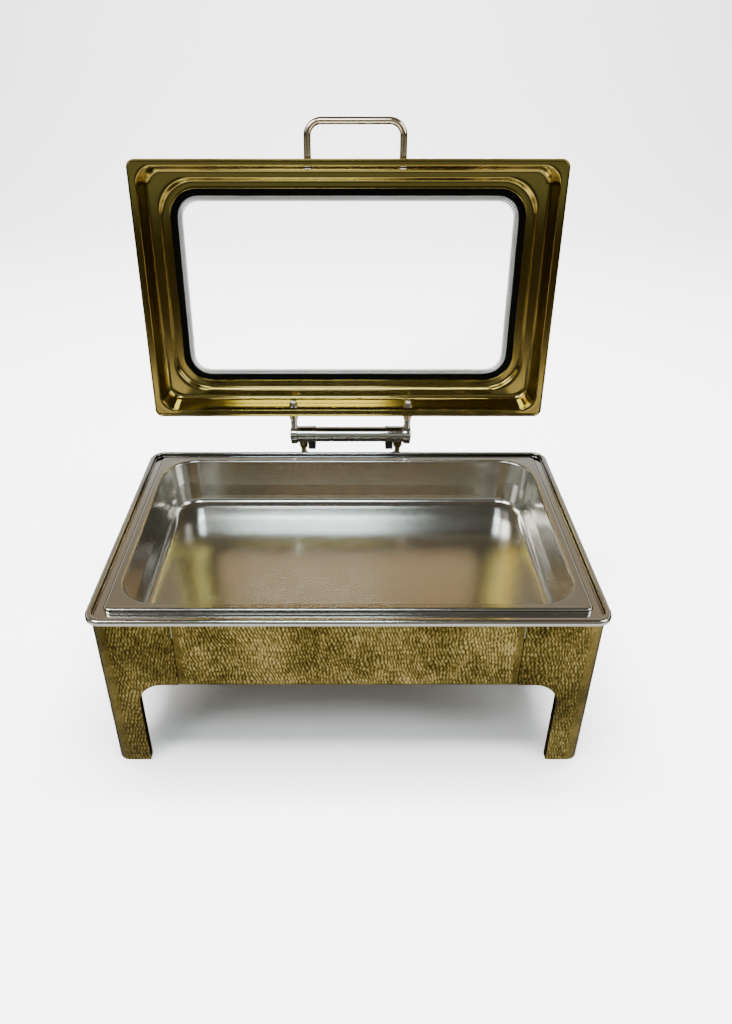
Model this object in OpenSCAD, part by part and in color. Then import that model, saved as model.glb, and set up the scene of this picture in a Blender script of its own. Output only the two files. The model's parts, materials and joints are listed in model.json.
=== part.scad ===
// Full-size chafing dish with a hinged window lid, standing open.
// Lengths are millimetres, +Z is up and the front faces -Y.
// The stand is drawn about its own middle and then moved back to front by stand_y,
// so that the origin lies on the table under the middle of the open chafer.
// Everything on the lid is drawn closed and then swung open about the hinge.

/* [Rim and water pan] */
// Width of the water pan's rim
rim_w = 565; // [555:1:575]
// Depth of the water pan's rim, front to back
rim_d = 360; // [352:1:368]
// Height of the rim above the table
rim_z = 225; // [215:1:260]
// Height of the rim's outer skirt
rim_skirt = 6.5; // [6.5:0.5:9]
// Depth of the water pan below the rim
water_depth = 97; // [90:1:110]

/* [Food pan] */
// Width of the food pan over its flange
pan_w = 529; // [525:0.5:529]
// Depth of the food pan over its flange, front to back
pan_d = 324; // [320:0.5:324]
// Width of the food pan's opening
opening_w = 505; // [495:1:508]
// Depth of the food pan's opening, front to back
opening_d = 300; // [290:1:303]
// Corner radius of the food pan's opening
opening_r = 42; // [38:1:50]
// How deep the food pan holds
pan_depth = 65; // [40:1:70]

/* [Body] */
// Width over the body's panels
body_w = 554; // [552:1:556]
// Depth over the body's panels, front to back
body_d = 349.2; // [348:0.2:351]
// Height of the panels' lower edge above the table
panel_z = 126; // [110:1:135]
// Half width of the middle panel at the front and back
seam_x = 190; // [170:1:200]
// Width of a leg on each face
leg_w = 39.5; // [34:0.5:46]
// Radius between a panel's lower edge and a leg
arch_r = 29; // [20:1:36]
// Outside radius of the body's bent corners
bend_r = 13; // [10:1:16]

/* [Lid] */
// Width of the lid over its edge
lid_w = 549; // [547:0.5:549]
// Depth of the lid over its edge, front to back
lid_d = 344; // [342:0.5:344]
// Height of the lid's wall up to its shoulder
lid_shoulder = 32; // [28:1:36]
// Height of the lid's raised window panel inside
lid_rise = 37; // [36.5:0.5:40]
// Metal left round the window, from the lid's edge
window_margin = 40; // [39.5:0.5:46]
// How far the lid opens, in degrees
lid_open = 94; // [80:1:98]

/* [Hinge] */
// Distance of the hinge pin behind the stand's middle
hinge_y = 207; // [204:1:212]
// Height of the hinge pin above the rim
hinge_rise = 13; // [12:0.5:15]
// Sideways place of the hinge
hinge_x = 3.5; // [-10:0.5:10]
// Outside diameter of the damper tube
tube_d = 22; // [21:0.5:23]
// Length of the damper tube
tube_len = 153; // [140:1:170]

/* [Handle] */
// Diameter of the handle's rod
rod_d = 9; // [8:0.5:10]
// Distance between the handle's two ends
handle_w = 120; // [100:1:140]
// How far the rod's middle stands beyond the lid's edge
handle_reach = 42; // [35:1:50]
// Sideways place of the handle
handle_x = 9; // [-12:1:12]

/* [Burners] */
// Distance of each fuel cup from the middle
cup_x = 130; // [110:1:150]
// Outside diameter of a fuel cup
cup_d = 90; // [80:1:92]
// Height of a fuel cup
cup_h = 58; // [45:1:62]

/* [Hidden] */
$fn = 64;

sheet = 1;                       // pressed pans and lid
panel_t = 1.2;                   // body sheet
touch = 0.1;                     // gap under pieces that rest on others
brass = "#7d6b2c";
steel = "#c9cbc8";
chrome = "#dfe3e6";

// Rim
rim_r = 19;
strip_w = 7;                     // top strip of the rim
shoulder_drop = 5.5;             // from the rim's top down to the shoulder
well_w = rim_w - 2 * strip_w;    // inside the rim's raised edge
well_d = rim_d - 2 * strip_w;
well_r = rim_r - strip_w;
basin_w = 520;
basin_d = 315;
basin_r = 50;

// Body
panel_top = rim_z - shoulder_drop - sheet - 1;
seam_y = body_d / 2 - (body_w / 2 - seam_x);
seam_gap = 1.2;
hem = 10;

// Lid, closed
lid_z = rim_z + 1 + touch;       // underside of the lid's flange, just over the food pan
lid_r = 10;
lip = 4;                         // edge turned down round the flange
flange_w = 8.5;
mouth_w = lid_w - 2 * flange_w;
mouth_d = lid_d - 2 * flange_w;
mouth_r = 25;
wall_lean = 5;                   // how far the wall leans in
knee_r = 6;                      // between the wall and the shoulder
step_inset = 27;                 // from the lid's edge to the raised panel
step_r = 47;
window_r = 37;
glass_t = 4;
glass_inset = 29;
glass_z = lid_z + lid_rise + 2 * sheet;
wall_tilt = atan(wall_lean / (lid_shoulder - knee_r));

// Hinge
hinge_z = rim_z + hinge_rise;
knuckle_d = 28;
knuckle_w = 10;
knuckle_gap = 0.5;
shaft_d = 10;
stud_d = 6;
stud_z = lid_z + 8;
stud_x = tube_len / 2 + knuckle_gap + knuckle_w / 2;
neck_y = hinge_y - 26;
spacer_d = 12;
run_fit = 0.04;                  // radial gap of a turning fit

// Handle
rod_z = lid_z + 17;
rod_y = -(lid_d / 2 + handle_reach);
handle_bend = 17.5;

// Burners
shelf_z = 10;
shelf_t = 1.5;
cup_z = shelf_z + shelf_t + touch;
pin_y = cup_d / 2 + 5;
cap_t = 1.5;
hanger_x = body_w / 2 - panel_t - 2;

// Place of the open lid's rearmost edge, and the shift that centres the whole
function open_y(y, z) = hinge_y + (y - hinge_y) * cos(lid_open) + (z - hinge_z) * sin(lid_open);
rear_y = open_y(-lid_d / 2 + glass_inset, glass_z + glass_t);
stand_y = -(rear_y - rim_d / 2) / 2;

function arc(c, r, from, to, n = 6) =
    [for (i = [0:n]) c + r * [cos(from + (to - from) * i / n), sin(from + (to - from) * i / n)]];

// Placement ---------------------------------------------------------------

module on_stand() translate([0, stand_y, 0]) children();

module on_lid()
    on_stand() translate([0, hinge_y, hinge_z]) rotate([-lid_open, 0, 0])
        translate([0, -hinge_y, -hinge_z]) children();

module at_hinge() translate([hinge_x, hinge_y, hinge_z]) children();

module rod_along_x(d, from, to)
    translate([from, 0, 0]) rotate([0, 90, 0]) cylinder(d = d, h = to - from);

module rod_along_y(d, from, to)
    translate([0, to, 0]) rotate([90, 0, 0]) cylinder(d = d, h = to - from);

// Rounded rectangles ---------------------------------------------------------

module rounded(w, d, r) {
    square([w - 2 * r, d], center = true);
    square([w, d - 2 * r], center = true);
    for (x = [-1, 1], y = [-1, 1])
        translate([x * (w / 2 - r), y * (d / 2 - r)]) circle(r);
}

module frame(w, d, r, hole_w, hole_d, hole_r, z, t)
    translate([0, 0, z]) linear_extrude(t) difference() {
        rounded(w, d, r);
        rounded(hole_w, hole_d, hole_r);
    }

// Carries a flat section round a rounded rectangle. The section's X is measured
// outwards from the rectangle's line and its Y is height.
module ring(w, d, r) {
    turns = [[1, 1], [-1, 1], [-1, -1], [1, -1]];
    for (i = [0:3])
        translate([turns[i].x * (w / 2 - r), turns[i].y * (d / 2 - r), 0])
            rotate(90 * i) rotate_extrude(angle = 90) translate([r, 0]) children();
    for (a = [0, 180]) {
        rotate(a) translate([w / 2, 0, 0]) rotate([90, 0, 0])
            linear_extrude(d - 2 * r, center = true) children();
        rotate(a + 90) translate([d / 2, 0, 0]) rotate([90, 0, 0])
            linear_extrude(w - 2 * r, center = true) children();
    }
}

// A pressed basin hanging from its opening's line: lip, leaning wall, bottom radius, floor
module basin(w, d, r, depth, lean, lip_r, foot_r) {
    tilt = atan(lean / (depth - lip_r - foot_r));
    foot = [-lean - foot_r, -depth + foot_r];
    brim = [lip_r, -lip_r];
    section = concat(
        arc(brim, lip_r, 90, 180 + tilt),
        arc(foot, foot_r, -tilt, -90),
        arc(foot, foot_r + sheet, -90, -tilt),
        arc(brim, lip_r - sheet, 180 + tilt, 90)
    );
    ring(w, d, r) polygon(section);
    inset = lean + foot_r;
    translate([0, 0, -depth - sheet]) linear_extrude(sheet)
        rounded(w - 2 * inset, d - 2 * inset, r - inset);
}

// Body --------------------------------------------------------------------

// A flat panel standing on the X axis with its lower edge turned in
module panel(half_w) {
    translate([-half_w, 0, panel_z]) cube([2 * half_w, panel_t, panel_top - panel_z]);
    translate([-half_w, 0, panel_z]) cube([2 * half_w, hem, panel_t]);
}

// An end panel, its turned-in edge notched where the shelf's hanger passes
module end_panel() translate([0, -body_w / 2, 0]) difference() {
    panel(seam_y - seam_gap / 2);
    translate([-21, panel_t, panel_z - 1]) cube([42, hem, 10]);
}

module front_panel() color(brass) on_stand()
    translate([0, -body_d / 2, 0]) panel(seam_x - seam_gap / 2);

module back_panel() color(brass) on_stand()
    rotate(180) translate([0, -body_d / 2, 0]) panel(seam_x - seam_gap / 2);

module left_panel() color(brass) on_stand()
    rotate(-90) end_panel();

module right_panel() color(brass) on_stand()
    rotate(90) end_panel();

// Opening beside a leg in one face: x runs from the seam towards the leg
module arch_cut(from, to, depth)
    translate([0, depth, 0]) rotate([90, 0, 0]) linear_extrude(depth + 1) {
        translate([from, -1]) square([to - from - arch_r, panel_z + 1]);
        translate([from, -1]) square([to - from, panel_z + 1 - arch_r]);
        translate([to - arch_r, panel_z - arch_r]) circle(arch_r);
    }

// The sheet's edge turned in along a leg and its arch, on one face
module arch_hem(from, to)
    translate([0, hem, 0]) rotate([90, 0, 0]) linear_extrude(hem) {
        translate([to, 0]) square([panel_t, panel_z - arch_r]);
        translate([from, panel_z]) square([to - from - arch_r, panel_t]);
        intersection() {
            translate([to - arch_r, panel_z - arch_r]) difference() {
                circle(arch_r + panel_t);
                circle(arch_r);
            }
            translate([to - arch_r, panel_z - arch_r]) square(arch_r + panel_t);
        }
    }

// The right-hand front corner about the body's middle: a bent sheet with its leg
module corner_leg() {
    leg_x = body_w / 2 - leg_w;
    leg_y = body_d / 2 - leg_w;
    start_x = seam_x + seam_gap / 2;
    start_y = seam_y + seam_gap / 2;
    difference() {
        linear_extrude(panel_top) difference() {
            intersection() {
                rounded(body_w, body_d, bend_r);
                union() {
                    translate([start_x, -body_d / 2]) square([body_w / 2, bend_r + panel_t]);
                    translate([body_w / 2 - bend_r - panel_t, -body_d / 2])
                        square([bend_r + panel_t, body_d / 2 - start_y]);
                }
            }
            rounded(body_w - 2 * panel_t, body_d - 2 * panel_t, bend_r - panel_t);
        }
        translate([0, -body_d / 2, 0]) arch_cut(start_x - 1, leg_x, bend_r);
        translate([body_w / 2, 0, 0]) rotate(90) mirror([1, 0, 0])
            arch_cut(start_y - 1, leg_y, bend_r);
    }
    translate([0, -body_d / 2, 0]) arch_hem(start_x, leg_x);
    translate([body_w / 2, 0, 0]) rotate(90) mirror([1, 0, 0]) arch_hem(start_y, leg_y);
}

module corner_leg_front_left() color(brass) on_stand() mirror([1, 0, 0]) corner_leg();
module corner_leg_front_right() color(brass) on_stand() corner_leg();
module corner_leg_back_left() color(brass) on_stand() rotate(180) corner_leg();
module corner_leg_back_right() color(brass) on_stand() mirror([0, 1, 0]) corner_leg();

// Angle ring inside the panels' top edge, which carries the water pan's shoulder
module top_frame() color(steel) on_stand() {
    outer_w = body_w - 2 * panel_t;
    outer_d = body_d - 2 * panel_t;
    outer_r = bend_r - panel_t;
    web_t = 1.5;
    ledge_w = 5;
    web_h = 22;
    frame(outer_w, outer_d, outer_r,
          outer_w - 2 * web_t, outer_d - 2 * web_t, outer_r - web_t, panel_top - web_h, web_h);
    frame(outer_w, outer_d, outer_r,
          outer_w - 2 * ledge_w, outer_d - 2 * ledge_w, outer_r - ledge_w, panel_top, 1 - touch);
}

// Flat strips behind the eight seams, joining the middle panels to the corner sheets
module seam_strips() color(steel) on_stand() {
    strip = [24, 1.2, 55];
    z = panel_z + panel_t + 2;
    for (x = [-seam_x, seam_x], side = [-1, 1])
        translate([x, side * (body_d / 2 - panel_t - strip.y / 2), z + strip.z / 2])
            cube(strip, center = true);
    for (y = [-seam_y, seam_y], side = [-1, 1])
        translate([side * (body_w / 2 - panel_t - strip.y / 2), y, z + strip.z / 2])
            cube([strip.y, strip.x, strip.z], center = true);
}

// Pans --------------------------------------------------------------------

module water_pan() color(steel) on_stand() translate([0, 0, rim_z]) {
    edge_r = 2;
    floor_z = shoulder_drop + sheet;
    lip_r = 3;
    section = concat(
        [[0, -rim_skirt]],
        arc([-edge_r, -edge_r], edge_r, 0, 90, 4),
        [[-strip_w, 0], [-strip_w, -floor_z], [-strip_w + sheet, -floor_z],
         [-strip_w + sheet, -sheet]],
        arc([-edge_r, -edge_r], edge_r - sheet, 90, 0, 4),
        [[-sheet, -rim_skirt]]
    );
    ring(rim_w, rim_d, rim_r) polygon(section);
    frame(well_w, well_d, well_r,
          basin_w + 2 * lip_r, basin_d + 2 * lip_r, basin_r + lip_r, -floor_z, sheet);
    translate([0, 0, -shoulder_drop])
        basin(basin_w, basin_d, basin_r, water_depth - shoulder_drop, 6, lip_r, 12);
}

module food_pan() color(steel) on_stand() translate([0, 0, rim_z + 1]) {
    edge_r = 3;
    edge_drop = shoulder_drop + 1 - touch;
    lip_r = 3;
    corner_r = 8;
    section = concat(
        [[0, -edge_drop]],
        arc([-edge_r, -edge_r], edge_r, 0, 90, 4),
        arc([-edge_r, -edge_r], edge_r - sheet, 90, 0, 4),
        [[-sheet, -edge_drop]]
    );
    ring(pan_w, pan_d, corner_r) polygon(section);
    frame(pan_w - 2 * edge_r, pan_d - 2 * edge_r, corner_r - edge_r,
          opening_w + 2 * lip_r, opening_d + 2 * lip_r, opening_r + lip_r, -sheet, sheet);
    basin(opening_w, opening_d, opening_r, pan_depth, 7, lip_r, 10);
}

// Hinge, fixed side ---------------------------------------------------------

bracket_in = 51;                 // inner face of a bracket, from the hinge's middle
sleeve_d = tube_d + 2;
bolt_x = 67.6;
bolt_ys = [-15, 14];
plate_t = 2.5;
plate_z = rim_z - 32;            // top of the plate's shelf
foot_t = 4;
plate_screw_x = [-80, -30, 30, 80];
plate_screw_z = plate_z - 22;

module hinge_plate() color(chrome) on_stand() difference() {
    translate([hinge_x - 95, body_d / 2, 0]) {
        translate([0, 0, plate_z - 36]) cube([190, plate_t, 36]);
        translate([0, 0, plate_z - plate_t]) cube([190, 52, plate_t]);
    }
    for (x = plate_screw_x)
        translate([hinge_x + x, 0, plate_screw_z]) rod_along_y(5.2, body_d / 2 - 1, body_d / 2 + 4);
    for (x = [-bolt_x, bolt_x], y = bolt_ys)
        translate([hinge_x + x, hinge_y + y, plate_z - 5]) cylinder(d = 5, h = 10);
}

module hinge_plate_screws() color(chrome) on_stand()
    for (x = plate_screw_x)
        translate([hinge_x + x, 0, plate_screw_z]) {
            rod_along_y(5, body_d / 2, body_d / 2 + plate_t);
            rod_along_y(9, body_d / 2 + plate_t, body_d / 2 + plate_t + 2.6);
        }

// One cast bracket: a sleeve round the tube, a boss, a post with a hexagonal collar
// and a bolted foot, on the +X side
module hinge_bracket() {
    outer = tube_len / 2;
    foot_top = plate_z + foot_t - hinge_z;
    foot_in = 60;
    foot_out = 77;
    difference() {
        union() {
            rod_along_x(sleeve_d, bracket_in, outer);
            rod_along_x(sleeve_d + 1.6, bracket_in, bracket_in + 3);
            translate([62.5, -7, -15]) cube([13, 14, 13]);
            translate([69, 0, foot_top - 1]) cylinder(d = 8, h = -foot_top);
            translate([69, 0, -21]) cylinder(d = 12, h = 6, $fn = 6);
            translate([foot_in, -20, foot_top - foot_t]) cube([foot_out - foot_in, 39, foot_t]);
        }
        rod_along_x(tube_d, bracket_in - 1, outer + 1);
        for (y = bolt_ys)
            translate([bolt_x, y, foot_top - 6]) cylinder(d = 5, h = 10);
    }
}

module hinge_bracket_right() color(chrome) on_stand() at_hinge() hinge_bracket();
module hinge_bracket_left() color(chrome) on_stand() at_hinge() mirror([1, 0, 0]) hinge_bracket();

module bracket_bolts() color(chrome) on_stand()
    for (x = [-bolt_x, bolt_x], y = bolt_ys)
        translate([hinge_x + x, hinge_y + y, plate_z]) {
            translate([0, 0, foot_t]) cylinder(d = 9.2, h = 3.6, $fn = 6);
            translate([0, 0, -plate_t]) cylinder(d = 5, h = plate_t + foot_t);
            translate([0, 0, -plate_t - 4]) cylinder(d = 9.2, h = 4, $fn = 6);
        }

// Dark stop block under the bracket's sleeve
module hinge_pad() difference() {
    translate([bracket_in, -8, -21]) cube([11, 16, 12]);
    rod_along_x(sleeve_d, bracket_in - 1, bracket_in + 20);
    rod_along_x(sleeve_d + 1.6, bracket_in - 1, bracket_in + 3);
}

module hinge_pad_right() color("#1d1d1d") on_stand() at_hinge() hinge_pad();
module hinge_pad_left() color("#1d1d1d") on_stand() at_hinge() mirror([1, 0, 0]) hinge_pad();

tube_bore = 18;
bush_w = 12;

module hinge_tube() color(chrome) on_stand() at_hinge() difference() {
    rod_along_x(tube_d, -tube_len / 2, tube_len / 2);
    rod_along_x(tube_bore, -tube_len, tube_len);
}

module damper_bushes() color(brass) on_stand() at_hinge()
    for (side = [0, 1]) mirror([side, 0, 0]) difference() {
        rod_along_x(tube_bore, tube_len / 2 - bush_w, tube_len / 2);
        rod_along_x(shaft_d + 2 * run_fit, 0, tube_len);
    }

// Oil chamber length between the bushes, less a little end play
chamber = tube_len - 2 * bush_w - 1;
vane_w = 4;

// Fixed wall that the oil is pressed past
module damper_partition() color(steel) on_stand() at_hinge() intersection() {
    difference() {
        rod_along_x(tube_bore, -chamber / 2, chamber / 2);
        rod_along_x(shaft_d + 0.6, -chamber, chamber);
    }
    translate([-chamber / 2, -vane_w / 2, -tube_bore]) cube([chamber, vane_w, tube_bore]);
}

// Hinge, moving side ----------------------------------------------------------

module damper_shaft() color(steel) on_lid() at_hinge() {
    reach = stud_x + knuckle_w / 2;
    rod_along_x(shaft_d, -reach, reach);
}

// Paddle on the shaft, pointing up with the lid closed, swinging back as it opens
module damper_vane() color(steel) on_lid() at_hinge() intersection() {
    difference() {
        rod_along_x(tube_bore - 0.6, -chamber / 2, chamber / 2);
        rod_along_x(shaft_d, -chamber, chamber);
    }
    translate([-chamber / 2, -vane_w / 2, 0]) cube([chamber, vane_w, tube_bore]);
}

module hinge_knuckle() difference() {
    union() {
        translate([hinge_x + stud_x, hinge_y, hinge_z])
            rod_along_x(knuckle_d, -knuckle_w / 2, knuckle_w / 2);
        translate([hinge_x + stud_x, 0, stud_z]) rod_along_y(9, neck_y, hinge_y - 8);
    }
    translate([hinge_x + stud_x, hinge_y, hinge_z]) rod_along_x(shaft_d, -knuckle_w, knuckle_w);
    translate([hinge_x + stud_x, 0, stud_z]) rod_along_y(stud_d, neck_y - 1, hinge_y - 10);
}

// Mirrors about the hinge's own middle, not the stand's
module other_side() translate([2 * hinge_x, 0, 0]) mirror([1, 0, 0]) children();

module hinge_knuckle_right() color(chrome) on_lid() hinge_knuckle();
module hinge_knuckle_left() color(chrome) on_lid() other_side() hinge_knuckle();

module knuckle_caps() color(chrome) on_lid() at_hinge()
    for (side = [0, 1]) mirror([side, 0, 0])
        rod_along_x(18, stud_x + knuckle_w / 2, stud_x + knuckle_w / 2 + 1.5);

// Everything behind the lid's leaning rear wall; depth is measured through the sheet
module behind_rear_wall(depth) {
    reach = 60;
    translate([0, mouth_d / 2 + depth, lid_z]) rotate([wall_tilt, 0, 0])
        translate([-300, 0, -reach]) cube([600, reach, 2 * reach]);
}

module lid_spacer() difference() {
    intersection() {
        translate([hinge_x + stud_x, 0, stud_z]) rod_along_y(spacer_d, mouth_d / 2 - 4, neck_y);
        behind_rear_wall(sheet + 0.02);
    }
    translate([hinge_x + stud_x, 0, stud_z]) rod_along_y(stud_d, 100, neck_y + 1);
}

module lid_spacer_right() color("gold") on_lid() lid_spacer();
module lid_spacer_left() color("gold") on_lid() other_side() lid_spacer();

nut_h = 4;
nut_dome = 10;
nut_y = mouth_d / 2 - 3.6;       // face of the nut against its washer
stud_end = nut_y - nut_h - 1;    // the stud stops inside the nut's dome

module lid_stud() translate([hinge_x + stud_x, 0, stud_z])
    rod_along_y(stud_d, stud_end, hinge_y - 10);

module lid_stud_right() color(chrome) on_lid() lid_stud();
module lid_stud_left() color(chrome) on_lid() other_side() lid_stud();

// Domed nut with its washer, which is trimmed to the leaning wall
module lid_nut() difference() {
    union() {
        translate([hinge_x + stud_x, nut_y, stud_z]) rotate([90, 30, 0]) {
            cylinder(d = 11.5, h = nut_h, $fn = 6);
            translate([0, 0, nut_h]) rotate_extrude() intersection() {
                circle(d = nut_dome);
                square(nut_dome);
            }
        }
        difference() {
            translate([hinge_x + stud_x, 0, stud_z]) rod_along_y(13, nut_y, nut_y + 3);
            behind_rear_wall(-0.02);
        }
    }
    translate([hinge_x + stud_x, 0, stud_z]) rod_along_y(stud_d, stud_end, hinge_y);
}

module lid_nut_right() color(chrome) on_lid() lid_nut();
module lid_nut_left() color(chrome) on_lid() other_side() lid_nut();

// Lid ---------------------------------------------------------------------

module lid_shell() color(brass) on_lid() difference() {
    translate([0, 0, lid_z]) {
        knee = [-wall_lean - knee_r, lid_shoulder - knee_r];
        knee_inset = flange_w + wall_lean + knee_r;
        wall = concat(
            [[0, 0]],
            arc(knee, knee_r, 0, 90),
            arc(knee, knee_r + sheet, 90, 0),
            [[sheet, 0]]
        );
        step_lean = 2.5;
        ring(lid_w, lid_d, lid_r) polygon([[0, -lip], [0, sheet], [-sheet, sheet], [-sheet, -lip]]);
        frame(lid_w - 2 * sheet, lid_d - 2 * sheet, lid_r - sheet,
              mouth_w, mouth_d, mouth_r, 0, sheet);
        ring(mouth_w, mouth_d, mouth_r) polygon(wall);
        frame(lid_w - 2 * knee_inset, lid_d - 2 * knee_inset, mouth_r - wall_lean - knee_r,
              lid_w - 2 * step_inset, lid_d - 2 * step_inset, step_r, lid_shoulder, sheet);
        ring(lid_w - 2 * step_inset, lid_d - 2 * step_inset, step_r)
            polygon([[0, lid_shoulder], [-step_lean, lid_rise], [-step_lean, lid_rise + sheet],
                     [-step_lean + 0.2, lid_rise + sheet], [sheet, lid_shoulder + sheet],
                     [sheet, lid_shoulder]]);
        frame(lid_w - 2 * (step_inset + step_lean), lid_d - 2 * (step_inset + step_lean),
              step_r - step_lean,
              lid_w - 2 * window_margin, lid_d - 2 * window_margin, window_r, lid_rise, sheet);
    }
    for (side = [-1, 1]) {
        translate([hinge_x + side * stud_x, 0, stud_z]) rod_along_y(stud_d, mouth_d / 2 - 8, lid_d);
        translate([handle_x + side * handle_w / 2, 0, rod_z]) rod_along_y(5, -lid_d, -mouth_d / 2 + 10);
    }
}

module window_gasket() color("#151515") on_lid()
    frame(lid_w - 2 * (glass_inset + 2), lid_d - 2 * (glass_inset + 2), 41,
          lid_w - 2 * (window_margin - 3), lid_d - 2 * (window_margin - 3), 39,
          lid_z + lid_rise + sheet, sheet);

module window_glass() color("#cfd8d6") on_lid() translate([0, 0, glass_z]) linear_extrude(glass_t)
    rounded(lid_w - 2 * glass_inset, lid_d - 2 * glass_inset, 43);

// Handle ------------------------------------------------------------------

handle_root = -mouth_d / 2 - 1.2;

module lid_handle() color("#c8a064") on_lid() translate([handle_x, 0, rod_z]) difference() {
    union() {
        translate([0, rod_y, 0])
            rod_along_x(rod_d, -handle_w / 2 + handle_bend, handle_w / 2 - handle_bend);
        for (side = [0, 1]) mirror([side, 0, 0]) {
            translate([handle_w / 2, 0, 0]) rod_along_y(rod_d, rod_y + handle_bend, handle_root - 3);
            translate([handle_w / 2 - handle_bend, rod_y + handle_bend, 0]) rotate(-90)
                rotate_extrude(angle = 90) translate([handle_bend, 0]) circle(d = rod_d);
        }
    }
    for (x = [-1, 1]) translate([x * handle_w / 2, 0, 0])
        rod_along_y(5, handle_root - 18, handle_root + 1);
}

// Everything in front of the lid's leaning front wall
module before_front_wall(depth) mirror([0, 1, 0]) behind_rear_wall(depth);

module handle_collars() color("#c8a064") on_lid() difference() {
    intersection() {
        for (x = [-1, 1]) translate([handle_x + x * handle_w / 2, 0, rod_z])
            rod_along_y(14, handle_root - 3, handle_root + 9);
        before_front_wall(sheet + 0.02);
    }
    for (x = [-1, 1]) translate([handle_x + x * handle_w / 2, 0, rod_z])
        rod_along_y(5, handle_root - 10, handle_root + 12);
}

module handle_screws() color(chrome) on_lid()
    for (x = [-1, 1]) {
        head_y = -mouth_d / 2 + 6.2;
        translate([handle_x + x * handle_w / 2, 0, rod_z])
            rod_along_y(5, handle_root - 18, head_y);
        difference() {
            translate([handle_x + x * handle_w / 2, 0, rod_z])
                rod_along_y(10, head_y - 5, head_y);
            before_front_wall(-0.02);
        }
    }

// Burners -----------------------------------------------------------------

module fuel_shelf() color(steel) on_stand() {
    half_d = 56;
    edge = 6;
    translate([-hanger_x, -half_d, shelf_z]) cube([2 * hanger_x, 2 * half_d, shelf_t]);
    for (y = [-half_d, half_d - shelf_t])
        translate([-hanger_x, y, shelf_z - edge]) cube([2 * hanger_x, shelf_t, edge]);
    for (x = [-cup_x, cup_x], side = [-1, 1])
        translate([x + side * (cup_d / 2 + 2.5) - 1, -half_d, shelf_z + shelf_t])
            cube([2, 2 * half_d, 4]);
}

// Strap from the end panel down to the shelf, with a foot under it, on the +X side
module shelf_hanger() {
    strap_t = 2;
    translate([hanger_x, -20, shelf_z - strap_t]) cube([strap_t, 40, panel_z + 26 - shelf_z]);
    translate([hanger_x - 18, -20, shelf_z - strap_t]) cube([18, 40, strap_t]);
}

module shelf_hanger_right() color(steel) on_stand() shelf_hanger();
module shelf_hanger_left() color(steel) on_stand() mirror([1, 0, 0]) shelf_hanger();

module hanger_screws() color(chrome) on_stand()
    for (side = [0, 1], y = [-10, 10]) mirror([side, 0, 0])
        translate([0, y, panel_z + 14]) rod_along_x(8, hanger_x - 2.4, hanger_x);

module fuel_cup() {
    wall = 1.5;
    translate([cup_x, 0, cup_z]) {
        difference() {
            cylinder(d = cup_d, h = cup_h);
            translate([0, 0, wall]) cylinder(d = cup_d - 2 * wall, h = cup_h);
        }
        difference() {
            translate([0, 0, cup_h - 8]) linear_extrude(8) difference() {
                union() {
                    translate([0, pin_y]) circle(d = 10);
                    translate([-5, cup_d / 2 - 3]) square([10, 8]);
                }
                circle(d = cup_d);
            }
            translate([0, pin_y, 0]) cylinder(d = 4, h = cup_h + 1);
        }
    }
}

module fuel_cup_right() color(steel) on_stand() fuel_cup();
module fuel_cup_left() color(steel) on_stand() mirror([1, 0, 0]) fuel_cup();

module snuffer_pin() translate([cup_x, pin_y, cup_z + cup_h - 8]) {
    cylinder(d = 4, h = 8 + touch + cap_t + 0.4);
    translate([0, 0, 8 + touch + cap_t + 0.4]) cylinder(d = 7, h = 1.6);
}

module snuffer_pin_right() color(chrome) on_stand() snuffer_pin();
module snuffer_pin_left() color(chrome) on_stand() mirror([1, 0, 0]) snuffer_pin();

module snuffer_cap() translate([cup_x, 0, cup_z + cup_h + touch]) {
    difference() {
        linear_extrude(cap_t) {
            circle(d = cup_d + 2);
            translate([0, pin_y]) circle(d = 12);
            translate([-6, cup_d / 2 - 4]) square([12, 9]);
            translate([-5, -cup_d / 2 - 14]) square([10, 18]);
        }
        translate([0, pin_y, -1]) cylinder(d = 4 + 2 * run_fit, h = 4);
    }
}

module snuffer_cap_right() color(steel) on_stand() snuffer_cap();
module snuffer_cap_left() color(steel) on_stand() mirror([1, 0, 0]) snuffer_cap();

// Drawing -------------------------------------------------------------------

front_panel();
back_panel();
left_panel();
right_panel();
corner_leg_front_left();
corner_leg_front_right();
corner_leg_back_left();
corner_leg_back_right();
top_frame();
seam_strips();
water_pan();
food_pan();
hinge_plate();
hinge_plate_screws();
hinge_bracket_left();
hinge_bracket_right();
bracket_bolts();
hinge_pad_left();
hinge_pad_right();
hinge_tube();
damper_bushes();
damper_partition();
damper_shaft();
damper_vane();
hinge_knuckle_left();
hinge_knuckle_right();
knuckle_caps();
lid_spacer_left();
lid_spacer_right();
lid_stud_left();
lid_stud_right();
lid_nut_left();
lid_nut_right();
lid_shell();
window_gasket();
window_glass();
lid_handle();
handle_collars();
handle_screws();
fuel_shelf();
shelf_hanger_left();
shelf_hanger_right();
hanger_screws();
fuel_cup_left();
fuel_cup_right();
snuffer_pin_left();
snuffer_pin_right();
snuffer_cap_left();
snuffer_cap_right();
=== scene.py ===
import json
import math

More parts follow.
